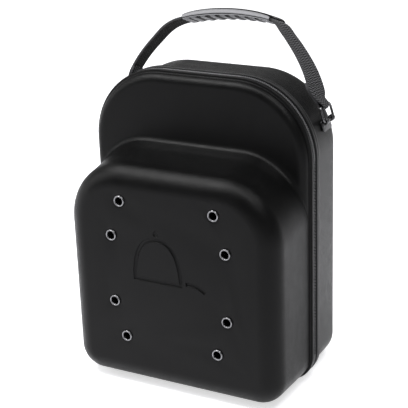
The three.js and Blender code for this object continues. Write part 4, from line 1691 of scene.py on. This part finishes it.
@dataclass
class CarryStrap:
    """The webbing with its sewn ends, and the rubber grip on its crown, in millimetres."""

    finishes: Finishes
    course: StrapCourse = field(default_factory=StrapCourse)
    lap: float = 26
    rib_pitch: float = 2.7
    rib_depth: float = 0.3
    columns: int = 6
    across_steps: int = 36
    edge_thinning: float = 0.6
    fold_run: float = 12
    bar_clear: float = 0.8
    lap_lift: float = 1.06
    stitch_size: tuple[float, float, float] = (0.55, 2.2, 0.55)
    stitch_round: float = 0.2
    stitch_pitch: float = 3.1
    stitches_beside: int = 4
    lower_seam: float = 11.5
    grip_length: float = 107
    grip_width: float = 34
    grip_thickness: float = 9.6
    grip_end_thickness: float = 6.6
    notches: int = 9
    notch_depth: float = 1.3
    notch_slant: float = 0.03
    groove_level: float = 0.41
    groove_width: float = 0.09
    groove_depth: float = 0.7
    notch_level: float = 0.58
    notch_shade_level: float = 0.7
    base_painted_shade: float = 0.36
    slot_gap: float = 0.4
    section_steps: int = 56

    def end_loop(self, line: Sequence[Vector], side: Side) -> list[Vector]:
        """The folded end: down one side of the link's bar, round it and back up as the lap.

        Args:
            line: The strap's middle line, from the crown side down to the bar.
            side: Which end it is.

        Returns:
            The end's middle line, from the crown side to the lap's end.
        """
        radius = self.course.link_wire + self.course.link_gap + self.course.thickness / 2
        bar = line[-1]
        normals = normals_along(line)
        outward = side.value
        runs = lengths_along(line)
        points = []
        for point, normal, run in zip(line, normals, runs):
            near = smoothstep(1 - (runs[-1] - run) / self.fold_run)
            if runs[-1] - run > self.bar_clear:
                points.append(point + normal * outward * radius * near)
        start = normals[-1] * outward
        base = math.atan2(start.y, start.x)
        for i in range(1, FOLD_STEPS):
            turn = base - outward * math.pi * i / FOLD_STEPS
            points.append(bar + Vector((math.cos(turn), math.sin(turn))) * radius)
        back = []
        for point, normal, run in zip(line, normals, runs):
            left = runs[-1] - run
            if self.bar_clear < left < self.lap:
                spread = (radius - self.course.thickness) * smoothstep(1 - left / self.fold_run)
                offset = self.course.thickness * self.lap_lift + spread
                back.append(point - normal * outward * offset)
        return points + back[::-1]

    def webbing_line(self) -> list[Vector]:
        """The whole webbing's middle line.

        Returns:
            Points as across and up, from one lap's end to the other.
        """
        line = self.course.line()
        middle = len(line) // 2
        right = self.end_loop(line[middle:], Side.RIGHT)
        left = self.end_loop(line[middle::-1], Side.LEFT)
        return evenly([*reversed(left[1:]), *right], self.rib_pitch / 5)

    def rib(self, along: float, across: float) -> float:
        """Height of the woven ribs: slanting rows that change their way in each column.

        Args:
            along: Distance along the webbing.
            across: Share of its width, from -0.5 to 0.5.

        Returns:
            The height from about -1 to 1, 0 at the edges.
        """
        column = (across + 0.5) * self.columns
        way = 1 if int(column) % 2 else -1
        slant = way * (column % 1) * 0.5
        row = math.sin(2 * math.pi * (along / self.rib_pitch + slant))
        between_columns = abs(math.sin(math.pi * column))
        edge = smoothstep((0.5 - abs(across)) * 16)
        return (0.9 * row + 0.2 * between_columns - 0.1) * edge

    def webbing(self) -> None:
        """The webbing, a fine sheet laid along its course and given its thickness."""
        line = self.webbing_line()
        normals = normals_along(line)
        runs = lengths_along(line)
        deselect_all()
        row = len(line)
        bpy.ops.mesh.primitive_grid_add(
            x_subdivisions=row - 1, y_subdivisions=self.across_steps, size=1
        )
        piece = bpy.context.object
        piece.name = "strap_webbing"
        heights = []
        half = self.course.thickness / 2
        for index, vertex in enumerate(piece.data.vertices):
            i, j = index % row, index // row
            across = j / self.across_steps - 0.5
            rib = self.rib(runs[i], across)
            thin = (abs(across) * 2) ** 10
            lift = half * (1 - self.edge_thinning * thin) + rib * self.rib_depth
            point = line[i] + normals[i] * lift
            vertex.co = self.course.place(point.x, across * self.course.width, point.y)
            heights.append(0.5 + 0.5 * rib)
        layer = piece.data.uv_layers.active
        for loop, uv in zip(piece.data.loops, layer.data):
            i, j = loop.vertex_index % row, loop.vertex_index // row
            uv.uv = (runs[i] * MM, j / self.across_steps * self.course.width * MM)
        # The rib heights also set the webbing's painted highlight and painted shade.
        marks = piece.data.attributes.new("rib", "FLOAT", "POINT")
        marks.data.foreach_set("value", heights)
        activate(piece)
        modifier = piece.modifiers.new("thickness", "SOLIDIFY")
        modifier.thickness = self.course.thickness * MM
        modifier.offset = -1 if self.faces_up(piece) else 1
        modifier.use_rim = True
        bpy.ops.object.modifier_apply(modifier=modifier.name)
        clean(piece)
        smooth(piece, ROUND_ANGLE)
        dress(piece, self.finishes.webbing, "webbing", ["strap"])

    def faces_up(self, piece: bpy.types.Object) -> bool:
        """True where the sheet's faces at the crown point up."""
        crown = max(piece.data.polygons, key=lambda face: face.center.z)
        return crown.normal.z > 0

    def stitches(self) -> None:
        """Rows of thread that hold the laps, as small rounded bars on the webbing's outer side."""
        stitch = block("stitch", Vector((0, 0, 0)), self.stitch_size)
        with editing(stitch, "EDGE"):
            bpy.ops.mesh.select_all(action="SELECT")
            bpy.ops.mesh.bevel(offset=self.stitch_round * MM, segments=1, affect="EDGES")
        line = self.course.line()
        normals = normals_along(line)
        runs = lengths_along(line)
        lift = self.course.thickness / 2 + self.rib_depth
        lower_lift = lift + self.course.thickness * self.lap_lift
        heights = (self.lap - 2.5, self.lap - 5, self.lower_seam)
        targets = [*heights, *(runs[-1] - height for height in heights)]
        places = []
        for target in targets:
            i = min(range(len(runs)), key=lambda index: abs(runs[index] - target))
            for reach in (lift, -lower_lift):
                point = line[i] + normals[i] * reach
                for number in range(-self.stitches_beside, self.stitches_beside + 1):
                    w = number * self.stitch_pitch
                    here = self.course.place(point.x, w, point.y)
                    beside = self.course.place(point.x, w + 1, point.y)
                    along = (beside - here).normalized()
                    turn = along.rotation_difference(Vector((0, 1, 0))).inverted()
                    places.append(Matrix.Translation(here) @ turn.to_matrix().to_4x4())
        piece = copies("strap_stitches", stitch, places)
        smooth(piece, ROUND_ANGLE)
        dress(piece, self.finishes.thread, "webbing")

    def grip_section(self, share: float) -> list[tuple[float, float, float]]:
        """The grip's section at a share of its length.

        Args:
            share: From -1 at the left end to 1 at the right end.

        Returns:
            Points as width, height and darkness: the darker top and painted shade.
        """
        half_w = self.grip_width / 2
        slimmer = self.grip_end_thickness - self.grip_thickness
        swell = self.grip_thickness + slimmer * abs(share) ** 4
        half_h = swell / 2 * (1 - 0.25 * smoothstep((abs(share) - 0.96) / 0.04))
        ends = smoothstep((0.9 - abs(share)) / 0.1)
        points = []
        for i in range(self.section_steps):
            turn = 2 * math.pi * i / self.section_steps
            c, s = math.cos(turn), math.sin(turn)
            w = half_w * math.copysign(abs(c) ** 0.35, c)
            h = half_h * math.copysign(abs(s) ** 0.6, s)
            level = h / half_h
            phase = share + 1 + self.notch_slant * level
            notch = (0.5 - 0.5 * math.cos(phase * math.pi * self.notches)) * ends
            groove = math.exp(-((level + self.groove_level) / self.groove_width) ** 2)
            groove *= 1 if abs(c) > 0.5 else 0
            low = smoothstep((-level - self.notch_level) / 0.25)
            cut_in = self.notch_depth * notch * low
            w -= math.copysign(groove * self.groove_depth + cut_in * (1 if abs(c) > 0.3 else 0), c)
            h += cut_in * 0.7
            top = smoothstep((level - 0.55) / 0.12) * (1 if abs(c) > 0.25 else 0.6)
            # Painted shade in the finger notches beneath.
            slot = smoothstep((notch - 0.4) / 0.25) * smoothstep((-level - self.notch_shade_level) / 0.12)
            # Painted shade over the whole face, deeper towards the top.
            shaded = self.base_painted_shade + 0.14 * smoothstep((level - 0.1) / 0.5)
            # The groove's darkness is painted shade as well.
            dark = max(top, groove, slot, shaded)
            points.append((w, h, dark))
        return points

    def grip(self) -> None:
        """The rubber sleeve: grooved sides, finger notches beneath, and a slot for the webbing."""
        line = self.course.line()
        normals = normals_along(line)
        runs = lengths_along(line)
        middle = runs[-1] / 2
        reach = self.grip_length / 2
        inside = [i for i, run in enumerate(runs) if abs(run - middle) <= reach]
        rings, shades = [], []
        for i in inside:
            share = (runs[i] - middle) / reach
            section = self.grip_section(share)
            ring = []
            for w, h, _ in section:
                point = line[i] + normals[i] * h
                ring.append(self.course.place(point.x, -w, point.y))
            rings.append(ring)
            shades += [dark for _, _, dark in section]
        slot_w = self.course.width / 2 + self.slot_gap
        slot_h = self.course.thickness / 2 + self.slot_gap
        for i in reversed(inside):
            ring = []
            for w, h, _ in self.grip_section(0):
                inner_w = max(-slot_w, min(slot_w, w))
                inner_h = math.copysign(slot_h, h)
                point = line[i] + normals[i] * inner_h
                ring.append(self.course.place(point.x, -inner_w, point.y))
            rings.append(ring)
            # The slot's inner wall is fully dark: painted shade inside the slot.
            shades += [1.0] * len(ring)
        piece = loft("grip_sleeve", rings, closed=True)
        # The dark attribute carries the darker top and the painted shade.
        marks = piece.data.attributes.new("dark", "FLOAT", "POINT")
        known = KDTree(len(shades))
        for index, point in enumerate(point for ring in rings for point in ring):
            known.insert(point, index)
        known.balance()
        nearest = [known.find(vertex.co)[1] for vertex in piece.data.vertices]
        marks.data.foreach_set("value", [shades[index] for index in nearest])
        smooth(piece, ROUND_ANGLE)
        dress(piece, self.finishes.rubber, "grip_rubber", ["grip"])

    def build(self) -> None:
        """Builds the webbing, its stitches and the grip."""
        self.webbing()
        self.stitches()
        self.grip()


@dataclass
class SideHardware:
    """A link and its riveted anchor on each side, in millimetres."""

    finishes: Finishes
    wire: float = 1.4
    corner: float = 3.4
    wire_sides: int = 14
    corner_steps: int = 8
    gap: float = 0.35
    plate: float = 1.6
    plate_height: float = 11.4
    plate_middle: float = 6
    plate_corner: float = 2.6
    plate_stand: float = 2.1
    plate_rise: float = 5.9
    wall_radius: float = 78
    top_radius: float = 82
    knuckle_length: float = 4.6
    knuckle_wall: float = 1.7
    knuckle_inset: float = 3
    rivet_stand: float = 0.75
    rivet_inset: float = 3.6
    rivet_drop: float = 2.2
    rivet_head: tuple[tuple[float, float], ...] = (
        (0, -1.2), (1.2, -1.1), (2.0, -0.6), (2.4, 0), (2.4, 0.5), (0, 0.5),
    )

    def link(self, side: Side) -> None:
        """One wire link, a rounded loop swept with a round section.

        Args:
            side: The side of the case that it is on.
        """
        low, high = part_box(f"link_{side.name.lower()}")
        middle = (low + high) / 2
        width, height = (high.y - low.y) / MM, (high.z - low.z) / MM
        lean = ((high.x - low.x) / MM - 2 * self.wire) * side.value
        across, up = width / 2 - self.wire - self.corner, height / 2 - self.wire - self.corner
        rings = []
        for quarter, (sy, sz) in enumerate(((1, 1), (-1, 1), (-1, -1), (1, -1))):
            for i in range(self.corner_steps + 1):
                angle = (quarter + i / self.corner_steps) * math.pi / 2
                y = sy * across + self.corner * math.cos(angle)
                z = sz * up + self.corner * math.sin(angle)
                shift = -lean * z / (height - 2 * self.wire)
                ring = []
                for k in range(self.wire_sides):
                    turn = k / self.wire_sides * 2 * math.pi
                    reach = self.wire * math.cos(turn)
                    x = shift + self.wire * math.sin(turn)
                    spot = (x, y + reach * math.cos(angle), z + reach * math.sin(angle))
                    ring.append(middle + Vector(spot) * MM)
                rings.append(ring)
        piece = loft(f"wire_link_{side.name.lower()}", rings, closed=True)
        smooth(piece, ROUND_ANGLE)
        dress(piece, self.finishes.link, "link_metal", [f"link_{side.name.lower()}"])

    def anchor(self, side: Side) -> None:
        """One anchor: a rounded plate, two knuckles round the link's lower bar and two rivets.

        Args:
            side: The side of the case that it is on.
        """
        name = f"anchor_{side.name.lower()}"
        low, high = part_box(name)
        link_low, link_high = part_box(f"link_{side.name.lower()}")
        outer = link_high.x if side is Side.RIGHT else link_low.x
        bar_x = outer - side.value * self.wire * MM
        bar = Vector((bar_x, (link_low.y + link_high.y) / 2, link_low.z + self.wire * MM))
        length = (high.y - low.y) / MM
        above_corner = (low.z / MM + self.plate_middle) - (CASE.height - self.top_radius)
        tilt = math.asin(above_corner / self.wall_radius) * side.value
        inner = low.x if side is Side.RIGHT else high.x
        outwards = side.value * self.plate_stand * MM
        centre = Vector((inner + outwards, bar.y, low.z + self.plate_rise * MM))
        plate = block("plate", centre, (self.plate, length, self.plate_height))
        with editing(plate, "EDGE"):
            pick_edges(plate, lambda a, b: abs(a.x - b.x) > 1.0 * MM)
            bpy.ops.mesh.bevel(offset=self.plate_corner * MM, segments=5, affect="EDGES")
        turned(plate, tilt, "Y", centre)
        bevelled(plate, 0.35, 2)
        pieces = [plate]
        radius, bore = self.wire + self.gap + self.knuckle_wall, self.wire + self.gap
        half = self.knuckle_length / 2
        profile = [
            (bore, -half), (radius - 0.4, -half), (radius, 0.4 - half),
            (radius, half - 0.4), (radius - 0.4, half), (bore, half),
        ]
        reach = (link_high.y - link_low.y) / 2 / MM - self.wire - self.knuckle_inset - half
        for end in (-1, 1):
            pieces.append(spun("knuckle", profile, bar + Vector((0, end * reach, 0)) * MM, 28))
            across = end * (length / 2 - self.rivet_inset)
            outside = side.value * self.rivet_stand
            seat = centre + Vector((outside, across, -self.rivet_drop)) * MM
            rivet = spun("rivet", self.rivet_head, seat, 24)
            turned(rivet, side.value * math.pi / 2, "Z", seat)
            pieces.append(rivet)
        piece = join(pieces, f"side_anchor_{side.name.lower()}")
        smooth(piece, RIM_ANGLE)
        dress(piece, self.finishes.anchor, "link_metal", [name])

    def build(self) -> None:
        """Builds both sides."""
        for side in Side:
            self.link(side)
            self.anchor(side)


@dataclass(frozen=True)
class SoftBox:
    """One soft area light, aimed at the case."""

    name: str
    place: tuple[float, float, float]
    size: float
    power: float

    def build(self, target: Vector) -> None:
        """Adds the light.

        Args:
            target: The point that it is aimed at.
        """
        data = bpy.data.lights.new(self.name, "AREA")
        data.shape = "SQUARE"
        data.size = self.size
        data.energy = self.power
        lamp = bpy.data.objects.new(self.name, data)
        lamp.location = self.place
        lamp.rotation_mode = "QUATERNION"
        lamp.rotation_quaternion = (target - lamp.location).to_track_quat("-Z", "Y")
        bpy.context.scene.collection.objects.link(lamp)


@dataclass
class Studio:
    """The floor, the lights and the camera."""

    finishes: Finishes
    azimuth: float = 28.676
    elevation: float = 20.615
    roll: float = 2.053
    distance: float = 1302.27
    focal_pixels: float = 1220.48
    frame_pixels: float = 408
    sensor: float = 36
    target: tuple[float, float, float] = (-2.654, 0, 184.51)
    floor_size: float = 24
    floor_cuts: int = 7
    far: float = 50
    world_strength: float = 0.38
    boxes: tuple[SoftBox, ...] = (
        SoftBox("top_box", (-0.64, -0.3, 1.62), 0.74, 31),
        SoftBox("left_box", (-1.6, -0.6, 0.9), 0.8, 10),
        SoftBox("right_box", (0.62, -0.2, 1.55), 0.7, 15),
    )

    def camera(self) -> None:
        """The camera that sees the case as the photograph does."""
        a, e, r = (math.radians(value) for value in (self.azimuth, self.elevation, self.roll))
        right = Vector((math.cos(a), math.sin(a), 0))
        back = Vector((math.sin(a) * math.cos(e), -math.cos(a) * math.cos(e), math.sin(e)))
        up = back.cross(right)
        rolled_right = right * math.cos(r) - up * math.sin(r)
        rolled_up = right * math.sin(r) + up * math.cos(r)
        data = bpy.data.cameras.new("camera")
        data.sensor_width = self.sensor
        data.lens = self.focal_pixels * self.sensor / self.frame_pixels
        data.clip_end = self.far
        camera = bpy.data.objects.new("camera", data)
        place = CASE.point(*self.target) + back * self.distance * MM
        axes = Matrix((rolled_right, rolled_up, back)).transposed().to_4x4()
        camera.matrix_world = Matrix.Translation(place) @ axes
        bpy.context.scene.collection.objects.link(camera)
        bpy.context.scene.camera = camera

    def floor(self) -> None:
        """The floor, one wide flat sheet."""
        deselect_all()
        bpy.ops.mesh.primitive_plane_add(size=self.floor_size)
        sheet = bpy.context.object
        sheet.name = "floor"
        with editing(sheet, "FACE"):
            bpy.ops.mesh.select_all(action="SELECT")
            bpy.ops.mesh.subdivide(number_cuts=self.floor_cuts)
        sheet.data.materials.append(self.finishes.floor)
        sheet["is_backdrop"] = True

    def build(self) -> None:
        """Builds the studio."""
        scene = bpy.context.scene
        world = bpy.data.worlds.new("studio")
        world.use_nodes = True
        background = world.node_tree.nodes["Background"]
        background.inputs["Color"].default_value = (1, 1, 1, 1)
        background.inputs["Strength"].default_value = self.world_strength
        scene.world = world
        scene.view_settings.view_transform = "Standard"
        self.floor()
        target = CASE.point(*self.target)
        for box in self.boxes:
            box.build(target)
        self.camera()


def corners(bounds: tuple[Vector, Vector]) -> list[list[float]]:
    """A box's two corners as plain lists."""
    return [list(corner) for corner in bounds]


def main() -> list[list[float]]:
    """Builds the whole case in order.

    Returns:
        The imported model's box, as it was before anything was added.
    """
    logging.basicConfig(level=logging.INFO, format="%(name)s: %(message)s")
    packed = corners(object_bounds())
    finishes = Finishes()
    Studio(finishes).build()
    eyelets = VentEyelets(finishes)
    shells = CaseShells(finishes, emblem=Emblem())
    shells.build(eyelets.places())
    eyelets.build()
    ZipFastener(finishes, shells.rim_outline()).build()
    CarryStrap(finishes).build()
    SideHardware(finishes).build()
    return packed


if __name__ == "__main__":
    cad_box = main()
